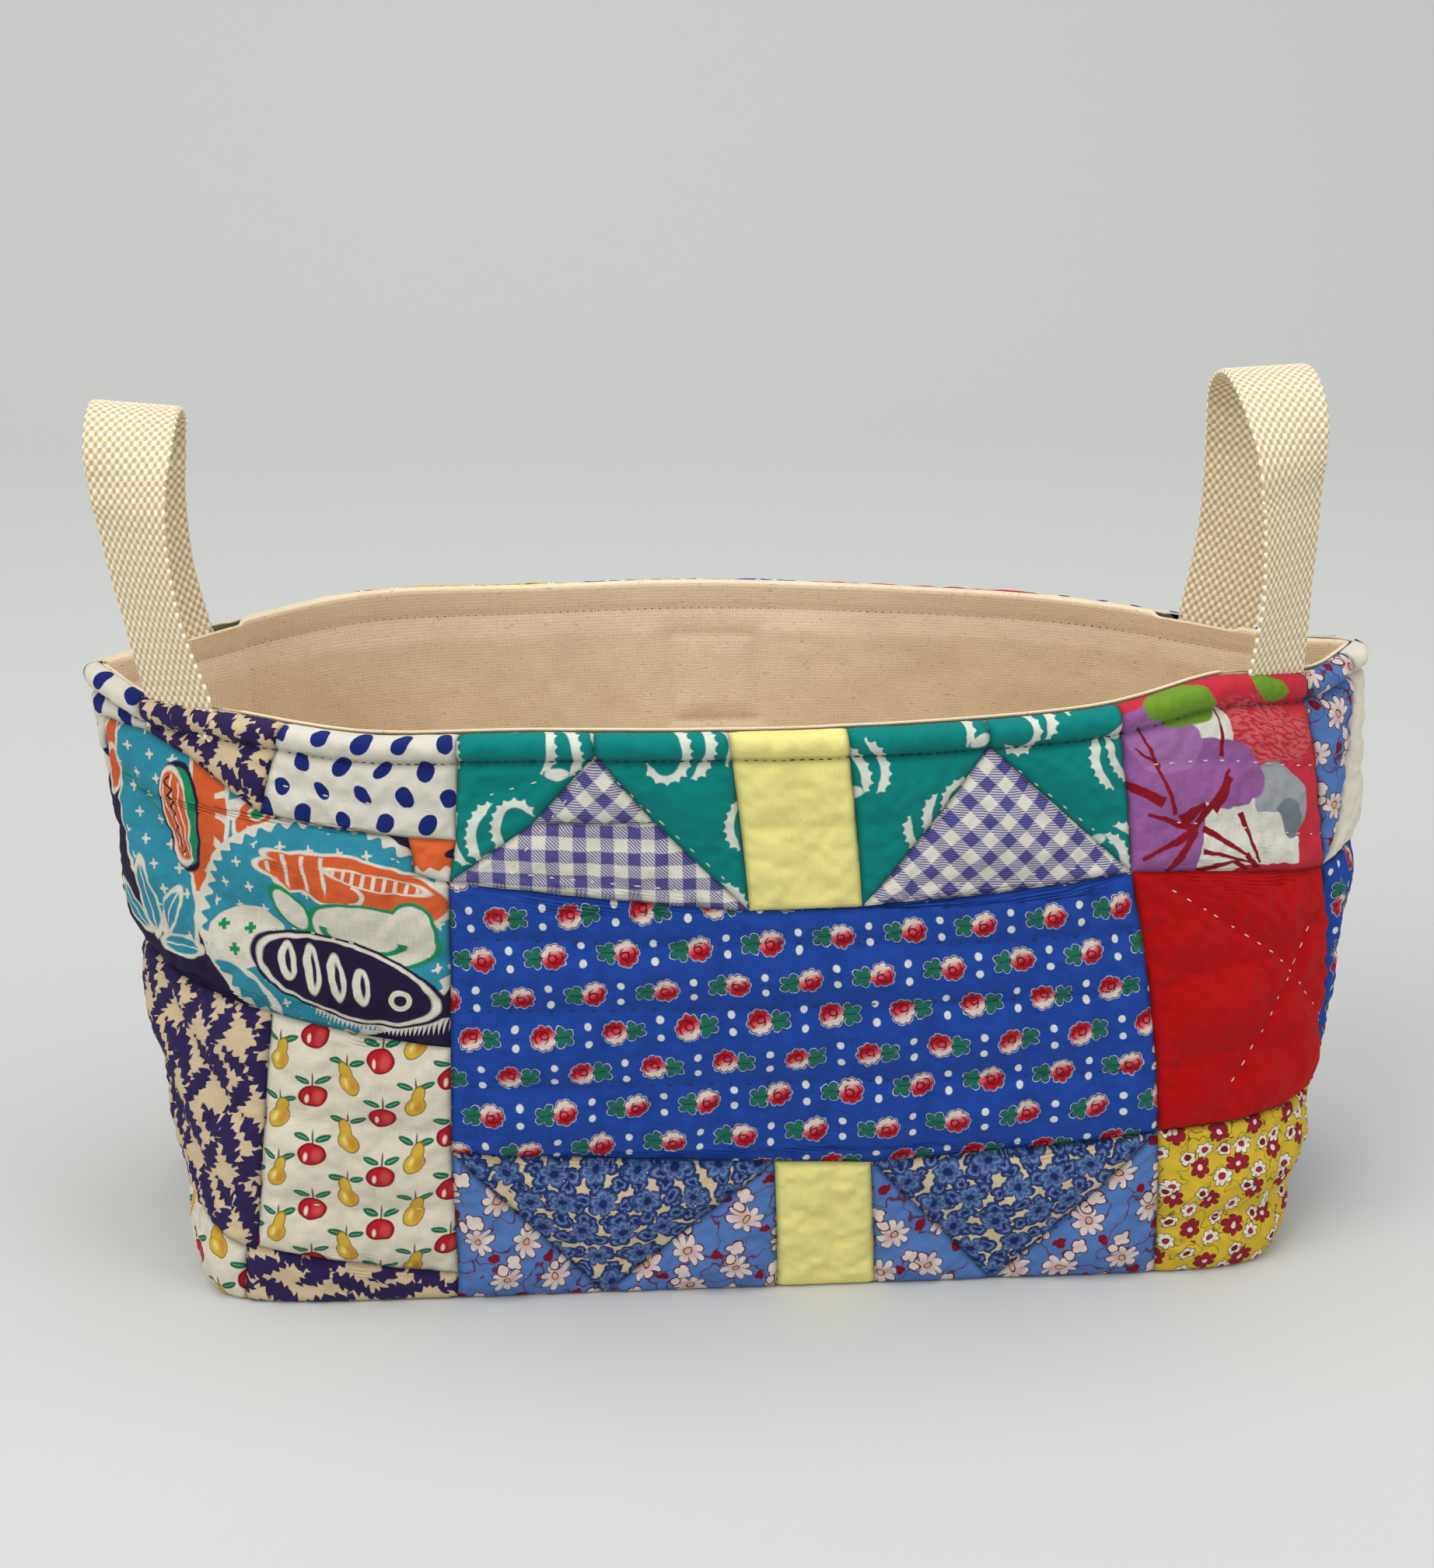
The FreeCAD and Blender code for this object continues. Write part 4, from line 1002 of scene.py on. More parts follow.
# ------------------------------------------------------------------ blue daisy patches
# A light blue dress cotton printed with open flowers on twigs, beside the calico
# triangles and at the right end of the rim.
def daisy():
    """Large loose ivory flowers and buds with maroon outlines and twigs on light blue."""
    cloth = Fabric("blue_daisy_cotton", ink(84, 122, 186))
    u, v = cloth.wobble(6.0, 3.4)
    twig = cloth.noise(u, v, 11.0, channel=9).size()
    cloth.paint(ink(96, 24, 44), (0.010 - twig).inside(0.008) * 0.85)
    x, y, column, row = cloth.lattice(u, v, 16.0, 14.0, 0.5)
    pick = cloth.chance(column, row)
    x, y = x + (cloth.chance(column, row, 1.0) - 0.5) * 4.0, y + (pick - 0.5) * 3.0
    cosine, sine = (pick * 6.0 + 1.57).sine(), (pick * 6.0).sine()
    petal_x, petal_y = x * cosine + y * sine, y * cosine - x * sine
    flower = blossom(petal_x, petal_y * 1.25, 8, 5.2, 0.68)
    cloth.outlined(flower, 0.42, ink(92, 18, 38), ink(224, 210, 200))
    blush = disc(petal_x - 0.8, petal_y, 2.6, 1.8).inside(1.6) * flower.inside()
    cloth.paint(ink(206, 156, 162), blush * 0.7)
    cloth.outlined(disc(petal_x, petal_y, 0.8), 0.3, ink(92, 18, 38), ink(206, 172, 140))
    bud_x, bud_y, column, row = cloth.lattice(u + 8.0, v + 7.0, 16.0, 14.0, 0.5)
    bud_x = bud_x + (cloth.chance(column, row, 5.0) - 0.5) * 4.0
    buds = blossom(bud_x - 2.6, bud_y, 4, 2.3, 0.4).most(disc(bud_x + 0.4, bud_y + 2.6, 1.3, 1.6))
    cloth.outlined(buds, 0.38, ink(92, 18, 38), ink(222, 206, 198))
    cloth.paint(ink(126, 16, 34), blossom(bud_x + 2.6, bud_y - 1.2, 3, 1.7, 0.3).inside(0.2))
    return cloth.finish(heather=0.10)


sew_patches("daisy", daisy(), "blue_daisy_print")

# ------------------------------------------------------------------ golden daisy patches
# A golden yellow cotton printed with small maroon and white flowers, at the foot on the
# right of the front and on the back.
def yellow_daisy():
    """Maroon and white flowers with fine black twigs on golden yellow."""
    cloth = Fabric("yellow_daisy_cotton", ink(214, 182, 52))
    u, v = cloth.wobble(7.0, 3.2)
    twig = cloth.noise(u, v, 6.0, channel=9).size()
    cloth.paint(ink(60, 44, 30), (0.009 - twig).inside(0.008) * 0.8)
    for offset, petals, radius, petal, heart in (
            (0.0, 6, 3.0, ink(150, 26, 46), ink(232, 212, 200)),
            (5.4, 7, 2.5, ink(234, 228, 214), ink(176, 40, 50)),
            (9.6, 5, 2.1, ink(232, 222, 206), ink(120, 20, 36))):
        x, y, column, row = cloth.lattice(u + offset, v + offset * 0.8, 12.4, 10.4, 0.5)
        x = x + (cloth.chance(column, row, offset) - 0.5) * 3.4
        y = y + (cloth.chance(column, row, offset + 1.0) - 0.5) * 2.6
        cloth.outlined(blossom(x, y, petals, radius, 0.42), 0.28, ink(84, 40, 34), petal)
        cloth.outlined(disc(x, y, 0.8), 0.22, ink(84, 20, 30), heart)
    return cloth.finish(heather=0.08, wrinkle=0.9)


sew_patches("yellow_daisy", yellow_daisy(), "yellow_daisy_print")

# ------------------------------------------------------------------ fruit patches
# An ivory feed-sack cotton printed with apples and pears, at the left of the front and round
# its foot.
def fruit():
    """Columns of red apples and of yellow pears with green leaves, on ivory.

    Each column steps down from the last, and the pears of alternate columns lean either way.
    """
    cloth = Fabric("fruit_cotton", ink(222, 214, 194))
    u, v = cloth.wobble(14.0, 1.8)
    column_pitch, fruit_pitch = 19.2, 18.0
    for start_u, start_v, is_apple in ((0.0, 0.0, True), (9.6, 5.7, False)):
        column = ((u - start_u) * (1 / column_pitch)).floor()
        x = u - start_u - column * column_pitch - column_pitch / 2
        drop = v - start_v + column * 5.9
        row = (drop * (1 / fruit_pitch)).floor()
        y = drop - row * fruit_pitch - fruit_pitch / 2
        for leaf_x, leaf_y, slant in ((2.9, 5.0, 22.0), (-2.9, 5.0, -22.0)):
            along, across = turned(x - leaf_x, y - leaf_y, slant)
            cloth.paint(ink(24, 104, 78), disc(along, across, 2.3, 0.95).inside(0.2))
            vein = (0.13 - across.size()).least(1.4 - along.size())
            cloth.paint(ink(120, 170, 130), vein.inside(0.15))
        cloth.paint(ink(104, 100, 84), disc(x - 0.15, y - 4.7, 0.3, 2.6).inside(0.15))
        if is_apple:
            apple = disc(x, y, 3.7, 3.2).least(3.2 - (y - x.size() * 0.5))
            apple = apple.least(3.6 + y - x.size() * -0.25)
            cloth.paint(ink(128, 12, 30), (apple + 0.25).inside(0.25))
            cloth.paint(ink(186, 26, 42), (apple - 0.3).inside(0.5))
            cloth.paint(ink(214, 92, 84), disc(x - 1.3, y + 0.2, 1.4, 2.0).inside(1.2) * 0.6)
            cloth.paint(ink(232, 218, 200), disc(x + 1.7, y + 0.9, 0.55, 1.25).inside(0.3))
        else:
            lean = column * 0.5 - (column * 0.5).floor()
            x = x + y * (lean - 0.25)
            pear = disc(x, y + 1.6, 2.7, 2.9).most(disc(x, y - 1.9, 1.6, 2.8))
            cloth.paint(ink(120, 96, 36), (pear + 0.3).inside(0.25))
            cloth.paint(ink(212, 172, 60), pear.inside(0.25))
            cloth.paint(ink(190, 120, 50), disc(x - 1.2, y + 1.6, 1.1, 2.0).inside(1.0) * 0.6)
            cloth.paint(ink(232, 210, 130), disc(x + 1.0, y + 1.4, 0.6, 1.3).inside(0.5))
    return cloth.finish(heather=0.10)


sew_patches("fruit", fruit(), "fruit_print")

# ------------------------------------------------------------------ large-flower patches
# A heavier furnishing cotton with a print so large that a patch holds part of one flower,
# under the right handle and on the back.
def big_flower():
    """A furnishing print: large petals of lilac, crimson, grey and white with maroon stems.

    Places in it are measured from the left foot of the patch at the front.
    """
    cloth = Fabric("big_flower_cotton", ink(196, 46, 64))
    u, v = cloth.wobble(11.0, 6.0)

    def within(u, v):
        x, y, column, row = cloth.lattice(u - 104.0, v - 124.0, 96.0, 84.0, 0.0)
        return x + 45.0, y + 42.0 + (x + 45.0) * 0.16

    x, y = within(u, v)
    streak = (cloth.noise(u + v * 2.4, v - u * 0.4, 2.2, channel=10) * 9.0).inside(0.5)
    cloth.paint(ink(216, 112, 112), disc(x - 46.0, y - 46.0, 20.0, 9.0).inside(3.0) * (streak * 0.7))
    for colour, centre_x, centre_y, wide, high in (
            ((222, 220, 208), 34, 17, 21, 18), ((222, 220, 208), 27, 44, 9, 9),
            ((152, 158, 162), 49, 26, 10, 12), ((118, 126, 134), 51, 20, 6, 6),
            ((222, 220, 208), 42, 11, 10, 12), ((150, 92, 152), 7, 26, 15, 28),
            ((150, 92, 152), 28, 34, 16, 10), ((164, 110, 166), 12, 42, 12, 8),
            ((112, 150, 44), 19, 53, 12, 6), ((112, 150, 44), 50, 59, 7, 4),
            ((112, 150, 44), 75, 7, 5, 7)):
        petal = disc(x - float(centre_x), y - float(centre_y), wide, high)
        cloth.paint(ink(*colour), petal.inside(0.4))
    stem_x, stem_y = within(*cloth.wobble(4.0, 1.6))
    for start_x, start_y, slant, length, thick in (
            (18, 17.5, -156, 20, 1.3), (18, 17.5, -130, 22, 1.3), (18, 17.5, 161, 16, 1.3),
            (12, 22, 106, 27, 0.8), (18, 17.5, 51, 22, 1.1), (30, 38, 85, 13, 0.8),
            (9, 36, 140, 9, 0.7), (24, 23, 52, 12, 2.0), (8, 26, 152, 13, 2.0),
            (14, 20, 30, 9, 2.2), (21, 17.5, -30, 17, 1.1), (34, 10, -44, 12, 1.0),
            (34, 22, -72, 15, 1.2), (18, 5.5, 12, 13, 0.9), (30, 8, -30, 13, 0.8),
            (20, 11, -12, 16, 0.8)):
        along, across = turned(stem_x - float(start_x), stem_y - float(start_y), slant)
        ends = (length / 2.0) - (along - length / 2.0).size()
        width = thick - along.most(0.0) * (thick * 0.6 / length)
        cloth.paint(ink(136, 12, 30), (width - across.size()).least(ends).inside(0.3))
    return cloth.finish(heather=0.14, wrinkle=1.4)


sew_patches("big_flower", big_flower(), "big_flower_print")

# ------------------------------------------------------------------ paisley patch and orange scrap
# A furnishing cotton with one great paisley, wrapped round the left end.  The orange scrap
# is another corner of the same print, let in above it.
def paisley():
    """A large paisley: turquoise, orange and navy lobes with ivory outlines on deep navy.

    Places are distances round the front and up it, from the middle of its foot.
    """
    cloth = Fabric("paisley_cotton", ink(34, 24, 56))
    u, v = cloth.wobble(9.0, 2.0)
    line, turquoise, orange = ink(216, 210, 194), ink(48, 138, 160), ink(208, 92, 48)
    green, shade = ink(26, 136, 88), ink(32, 22, 54)

    def shape_at(middle_u, middle_v, wide, high, slant=0.0):
        along, across = turned(u - middle_u, v - middle_v, slant)
        return disc(along, across, wide, high), along, across

    star_x, star_y, column, row = cloth.lattice(u, v, 8.4, 6.6, 0.45)
    star_x, star_y = turned(star_x, star_y, 12.0)
    star = (0.30 - star_x.size().least(star_y.size())).least(1.5 - star_x.size().most(star_y.size()))
    stars = star.most(disc(star_x, star_y, 0.75)).inside(0.25)
    crosses = (0.62 - star_x.size().least(star_y.size())).least(1.7 - star_x.size().most(star_y.size()))

    # The left motif: an orange wing with ivory scallops, a starred body, a striped pod, leaves.
    wing, x, y = shape_at(-166.0, 149.0, 14.0, 26.0, 14.0)
    angle = y.node("ARCTAN2", x)
    bead = (angle * 9.0).sine()
    cloth.paint(line, (wing + 5.4 + bead * 0.6).inside(0.3))
    cloth.paint(turquoise, ((wing + 2.6).size() * -1.0 + 1.3).least(bead * 1.6 - 0.2).inside(0.3))
    cloth.outlined(wing, 0.8, line, orange, 0.3)
    cloth.paint(line, ((angle * 12.0).sine() * 1.4 - 0.9).least(wing).least(3.2 - wing).inside(0.3))
    body, x, y = shape_at(-178.0, 149.0, 15.0, 29.0, 8.0)
    body = body.most(shape_at(-172.0, 123.0, 8.5, 20.0, 16.0)[0])
    cloth.outlined(body, 1.0, line, turquoise, 0.3)
    cloth.paint(line, stars * (body - 0.8).inside(0.3))
    vine = (v - 147.0 + (u + 178.0) * 0.35 + (u * 0.35).sine() * 1.2).size()
    cloth.paint(green, (0.55 - vine).least(body).least(-168.0 - u).inside(0.3))
    pod, x, y = shape_at(-167.0, 145.0, 6.4, 14.5, 8.0)
    cloth.outlined(pod, 0.9, shade, green, 0.3)
    cloth.outlined(disc(x + 1.6, y, 4.4, 13.4), 0.6, line, orange, 0.3)
    bands = ((x + (y * 0.35).sine() * 0.8) * 2.6).sine()
    cloth.paint(line, (bands - 0.75).inside(0.4) * disc(x + 1.6, y, 4.0, 12.5).inside(0.3))
    wave = (0.42 - (x + 2.6 - (y * 1.7).sine() * 0.8).size()).inside(0.3)
    cloth.paint(shade, wave * disc(x + 2.0, y, 3.4, 12.0).inside(0.3))
    for middle_u, middle_v, slant, long in ((-181.0, 117.0, 96.0, 10.0), (-172.0, 115.0, 60.0, 7.5),
                                            (-188.0, 112.0, 130.0, 7.0), (-169.0, 105.0, 8.0, 7.0)):
        leaf, x, y = shape_at(middle_u, middle_v, long, 2.6, slant)
        cloth.outlined(leaf, 0.9, line, turquoise, 0.3)
        cloth.paint(line, (0.25 - y.size()).least(leaf).inside(0.2))
    for middle_v, slant in ((168.0, 60.0), (160.0, 100.0), (151.0, 80.0)):
        petal, x, y = shape_at(-196.0, middle_v, 6.5, 2.4, slant)
        cloth.outlined(petal, 0.8, line, orange, 0.3)

    # A small rayed drop.
    drop, x, y = shape_at(-143.0, 149.5, 4.6, 3.9)
    drop = drop.most(disc(x + 3.6, y + 3.0, 1.8, 2.6))
    ray = (y.node("ARCTAN2", x) * 8.0).sine()
    cloth.paint(line, (drop + 1.0 + (ray * 3.0 - 1.6).most(0.0)).inside(0.3))
    cloth.paint(orange, drop.inside(0.3))
    cloth.outlined(disc(x - 0.3, y - 0.2, 2.0, 1.3), 0.6, line, green, 0.3)

    # The great lobe, fringed like a comb, with stars between the shapes inside it.
    lobe, x, y = shape_at(-122.0, 118.5, 37.5, 31.0)
    comb = (y.node("ARCTAN2", x * 0.83) * 46.0).sine()
    cloth.paint(line, (lobe + 1.8).inside(0.3))
    cloth.paint(turquoise, (lobe + comb * 0.9 - 0.3).least(lobe + 0.8).inside(0.3))
    cloth.paint(line, stars * (lobe - 2.2).inside(0.3))
    tail, x, y = shape_at(-146.0, 113.0, 11.5, 8.0, 22.0)
    cloth.outlined(tail, 0.8, line, line, 0.3)
    cloth.paint(green, crosses.inside(0.25) * (tail - 0.8).inside(0.3))
    fin, x, y = shape_at(-111.0, 131.5, 25.0, 8.6, -10.0)
    fin = fin.least(y + 5.4 + (x * 0.5).sine() * 0.7)
    fin = fin.most(disc(x + 24.0, y + 0.6, 5.5, 2.2)).most(disc(x + 22.0, y - 3.0, 5.5, 1.6))
    cloth.outlined(fin, 0.8, line, orange, 0.3)
    rib = ((x * 0.95 + (y * 0.22).sine() * 2.0) * 1.15).sine() - 0.78
    cloth.paint(line, rib.least(fin - 0.4).least(x * -1.0 - 9.0).inside(0.3))
    bar = disc(x - 4.0, y - 3.6, 13.0, 1.9)
    cloth.outlined(bar, 0.45, line, orange, 0.25)
    cloth.paint(line, ((x * 2.1).sine() - 0.45).least(bar).inside(0.3))
    cloth.paint(line, (0.5 - disc(x + 2.0, y + 1.6, 3.4, 2.6).size()).least(x + 2.0).inside(0.25))
    belly, x, y = shape_at(-108.0, 118.0, 17.5, 8.4, -9.0)
    belly = belly.most(disc(x - 10.5, y - 3.0, 6.5, 8.4))
    cloth.outlined(belly, 0.95, green, line, 0.3)
    crease = (0.5 - disc(x + 2.5, y + 1.2, 11.5, 4.4).size()).least(y * -1.0 - 0.6)
    cloth.paint(green, crease.inside(0.25))
    leaf, x, y = shape_at(-131.5, 123.5, 6.8, 3.2, -52.0)
    cloth.outlined(leaf, 0.9, green, line, 0.3)
    hull, x, y = shape_at(-115.5, 104.0, 27.0, 10.6, -15.0)
    spike = ((x * 0.85).node("FRACT") - 0.5).size() * 5.0
    fringe = (hull + 3.4).least(y * -1.0 - 2.5).least(hull + spike + 0.8).least(x + 6.0)
    cloth.paint(line, fringe.inside(0.3))
    cloth.outlined(hull, 0.7, shade, line, 0.3)
    cloth.paint(shade, (hull - 0.9).inside(0.3))
    for shift, high in ((-17.0, 5.6), (-10.0, 7.4), (-2.5, 7.0), (4.5, 5.6)):
        slip_x, slip_y = turned(x - shift, y, 24.0)
        cloth.paint(line, disc(slip_x, slip_y, 2.5, high).inside(0.3))
        cloth.paint(shade, disc(slip_x - 0.5, slip_y, 0.7, high * 0.62).inside(0.3))
    cloth.paint(line, (0.75 - disc(x - 16.0, y + 0.2, 2.5).size()).inside(0.25))
    hook, x, y = shape_at(-147.0, 98.0, 12.0, 5.6, -32.0)
    cloth.paint(line, (1.0 - hook.size()).least(y).inside(0.3))
    cloth.paint(turquoise, ((hook - 2.0).size() * -1.0 + 1.2).least(y).inside(0.3))
    return cloth.finish(heather=0.15)


def orange_scrap():
    """Another corner of the paisley: orange with ivory teeth."""
    cloth = Fabric("orange_scrap_cotton", ink(224, 102, 52))
    u, v = cloth.wobble(5.0, 1.5)
    cloth.paint(ink(226, 220, 204), ((u * 1.5).sine() * 0.7 - (v - 138.5)).inside(0.3))
    cloth.paint(ink(32, 22, 58), disc(u + 84.0, v - 143.0, 3.0, 1.6).inside(0.3))
    return cloth.finish(heather=0.12)


sew_patches("paisley", paisley(), "paisley_print")
sew_patches("orange_scrap", orange_scrap(), "paisley_print")

# ------------------------------------------------------------------ batting and muslin backing
# Under the patches lie cotton batting and a muslin back.  They are quilted to the patches,
# so the batting fills the puffs and is pinched in the seams.
def plain_material(name, colour, roughness=0.92, lump=0.9, height=0.25):
    """A fibrous stuff: mottled, with a bump of tangled fibres, from Object coordinates."""
    material = bpy.data.materials.new(name)
    material.use_nodes = True
    tree, surface = material.node_tree, material.node_tree.nodes["Principled BSDF"]
    surface.inputs["Roughness"].default_value = roughness
    place = tree.nodes.new("ShaderNodeTexCoord")
    fibres = tree.nodes.new("ShaderNodeTexNoise")
    fibres.inputs["Scale"].default_value = 1 / (lump * MM)
    fibres.inputs["Detail"].default_value = 4.0
    tree.links.new(place.outputs["Object"], fibres.inputs["Vector"])
    mottle = tree.nodes.new("ShaderNodeMix")
    mottle.data_type = "RGBA"
    mottle.inputs[6].default_value = colour
    mottle.inputs[7].default_value = tuple(0.72 * part for part in colour[:3]) + (1.0,)
    tree.links.new(fibres.outputs["Fac"], mottle.inputs[0])
    tree.links.new(mottle.outputs[2], surface.inputs["Base Color"])
    bump = tree.nodes.new("ShaderNodeBump")
    bump.inputs["Distance"].default_value = height * MM
    tree.links.new(fibres.outputs["Fac"], bump.inputs["Height"])
    tree.links.new(bump.outputs[0], surface.inputs["Normal"])
    return material


def closed_shell(outer, inner):
    """Points and quads of a closed layer between two equal grids, outer face outwards.

    The two grids' border points are joined by a band of quads.
    """
    rows, columns = outer.shape[:2]
    index = np.arange(rows * columns).reshape(rows, columns)
    quads = np.stack([index[:-1, :-1], index[:-1, 1:], index[1:, 1:], index[1:, :-1]], -1)
    quads, total = quads.reshape(-1, 4), rows * columns
    rim = np.concatenate((index[0, :], index[1:, -1], index[-1, -2::-1], index[-2:0:-1, 0]))
    after = np.roll(rim, -1)
    edge = np.stack([rim, rim + total, after + total, after], 1)
    return (np.concatenate((outer.reshape(-1, 3), inner.reshape(-1, 3))),
            np.concatenate((quads, quads[:, ::-1] + total, edge)))


def wall_layer(name, node, face, outer, inner, material, slot, uv=None, **values):
    """One closed layer of a wall, which stands for its CAD node."""
    points, quads = closed_shell(outer, inner)
    piece = surface_object(name, points, [quads if face == FRONT else quads[:, ::-1]], uv, **values)
    sew_in(piece, material, slot, node)
    return piece


BATTING_DEPTH, BACKING_THICKNESS = 4.5, 0.4
batting_cotton = plain_material("batting_cotton", ink(238, 232, 214), lump=2.4, height=0.9)
muslin = plain_material("muslin_cotton", ink(231, 222, 197), lump=0.7)
for face, side in ((FRONT, "front"), (BACK, "back")):
    run, up = np.meshgrid(np.linspace(-SEAM, SEAM, 261), np.linspace(1.4, RIM - 3.4, 112))
    stand = quilt_relief(run, up, face)
    for shift in ((0, 1), (0, -1), (1, 0), (-1, 0)):
        stand = np.minimum(stand, np.roll(stand, shift, (0, 1)))
    under = np.minimum(stand - 1.0, 2.2) - 0.6 * smooth_step((6 - up) / 5)
    batting = wall_layer(side + "_batting_pad", side + "_batting", face,
                         place_on_wall(run, up, face, depth=np.minimum(-under, 3.9)),
                         place_on_wall(run, up, face, depth=BATTING_DEPTH),
                         batting_cotton, "cotton_batting")
    run, up = np.meshgrid(np.linspace(-SEAM, SEAM, 161), np.linspace(5.0, RIM - 1.5, 80))
    backing = wall_layer(side + "_backing_muslin", side + "_backing", face,
                         place_on_wall(run, up, face, QUILT_INSET),
                         place_on_wall(run, up, face, QUILT_INSET, BACKING_THICKNESS),
                         muslin, "muslin")

# ------------------------------------------------------------------ the duck lining
# A second, plainer bag of unbleached cotton duck hangs inside the quilt and is sewn to it at
# the rim, where its edge shows as a thin pale cord.  It lies loosely, in broad soft folds.
duck_cloth = Fabric("cotton_duck", ink(244, 224, 193))
fleck = duck_cloth.noise(duck_cloth.u * (1 / 3.2), duck_cloth.v, 0.55, detail=1.0, channel=11)
duck_cloth.paint(ink(150, 116, 78), (fleck - 0.215).inside(0.05) * 0.55)
slub = duck_cloth.noise(duck_cloth.u * (1 / 9.0), duck_cloth.v, 0.7, detail=1.0, channel=12)
duck_cloth.paint(ink(244, 226, 198), (slub - 0.12).inside(0.12) * 0.5)
DUCK_THREAD = 0.95
beat = 2 * math.pi / DUCK_THREAD
ribs = (duck_cloth.v * beat).sine() * 0.6 + (duck_cloth.u * beat).sine() * 0.45
duck_cloth.paint(ink(196, 168, 130), (ribs * -1.0 - 0.1).inside(1.4) * 0.38)
duck = duck_cloth.finish(heather=0.07, slub=0.9, thread=DUCK_THREAD, wrinkle=0.5)

LINING_ROLL, LINING_TOP, LINING_FLOOR = 1.3, RIM + 0.5, 5.3
LINING_HALF_THICKNESS = 0.42
SQUARE_SIDE, SQUARE_X, SQUARE_Z, SEW_IN = 32.0, -4.0, 148.0, 2.0


def square_distance(run, up):
    """Distance to the outline of the sewn square on the back wall."""
    across, along = np.abs(run - SQUARE_X), np.abs(up - SQUARE_Z)
    return np.abs(np.maximum(across, along) - (SQUARE_SIDE / 2 - SEW_IN))


def lining_lie(run, s, face):
    """The lining's middle surface: up the wall, then over towards the quilt at the rim.

    It hangs inwards by soft random folds, which the stitching holds back.
    """
    start = LINING_TOP - LINING_ROLL - 0.45
    roll = LINING_ROLL * (1 - 0.85 * strap_share(run, face))
    over = np.clip((s - start) / LINING_ROLL, 0, 1.95)
    height = np.where(over > 0, start + roll * np.sin(over), s)
    fold = (1.0 + 0.9 * soft_noise(run, s * 0.6, 34.0, 21 + face)
            + 0.5 * soft_noise(run, s, 13.0, 23 + face) + 0.16 * soft_noise(run, s, 4.2, 27 + face))
    held = np.minimum(np.abs(s - HEM) / 7.0, 1.0) * smooth_step((s - LINING_FLOOR) / 12.0)
    held = held * smooth_step((SEAM - np.abs(run)) / 9.0)
    groove = 0.35 * hump(s, HEM, 0.9)
    if face == BACK:
        held = held * np.clip(0.35 + square_distance(run, s) / 9.0, 0, 1)
        groove = groove + 0.4 * hump(square_distance(run, s), 0, 0.8)
    fold = fold * np.where(s > HEM, 0.35, 1.0) * held
    depth = 0.55 + np.clip(fold, -0.2, 3.0) - groove - roll * (1 - np.cos(over))
    return place_on_wall(run, height, face, LINING_INSET, depth + 0.9 * strap_share(run, face))


for face, side in ((FRONT, "front"), (BACK, "back")):
    rows = np.concatenate((np.arange(LINING_FLOOR, LINING_TOP - 2.0, 1.25),
                           np.linspace(LINING_TOP - 1.7, LINING_TOP + 0.75, 11)))
    run, s = np.meshgrid(np.linspace(-SEAM, SEAM, 334), rows)
    middle = lining_lie(run, s, face)
    normal = np.cross(np.gradient(middle, axis=1), np.gradient(middle, axis=0)) * -face
    normal /= np.linalg.norm(normal, axis=-1, keepdims=True) + 1e-9
    normal[..., 1] *= np.clip((SEAM - np.abs(run)) / 4.0, 0, 1)
    faces_of_it = [middle + normal * half for half in (LINING_HALF_THICKNESS, -LINING_HALF_THICKNESS)]
    for surface in faces_of_it:
        surface[..., 1] = np.where(surface[..., 1] * face < 0, 0.0, surface[..., 1])
    uv = np.tile(np.stack([run, s], -1).reshape(-1, 2), (2, 1))
    shade = np.maximum(hump(s, HEM, 0.7) * 0.25, smooth_step((9 - s) / 9) * 0.3)
    lining = wall_layer(side + "_duck_lining", side + "_lining", face, *faces_of_it,
                        duck, "cotton_duck", uv, seam_shade=np.tile(shade.ravel(), 2))
    (rows[-1] - rows[0]) * MM

# ------------------------------------------------------------------ the boxed bottom
# The bottom is flat: an outer cloth, a batting pad and the lining's own bottom, each with
# round corners.  The outer cloth's edge is sewn to the foot of the wall.
base_cotton = plain("base_cotton", ink(64, 84, 134), heather=0.12)


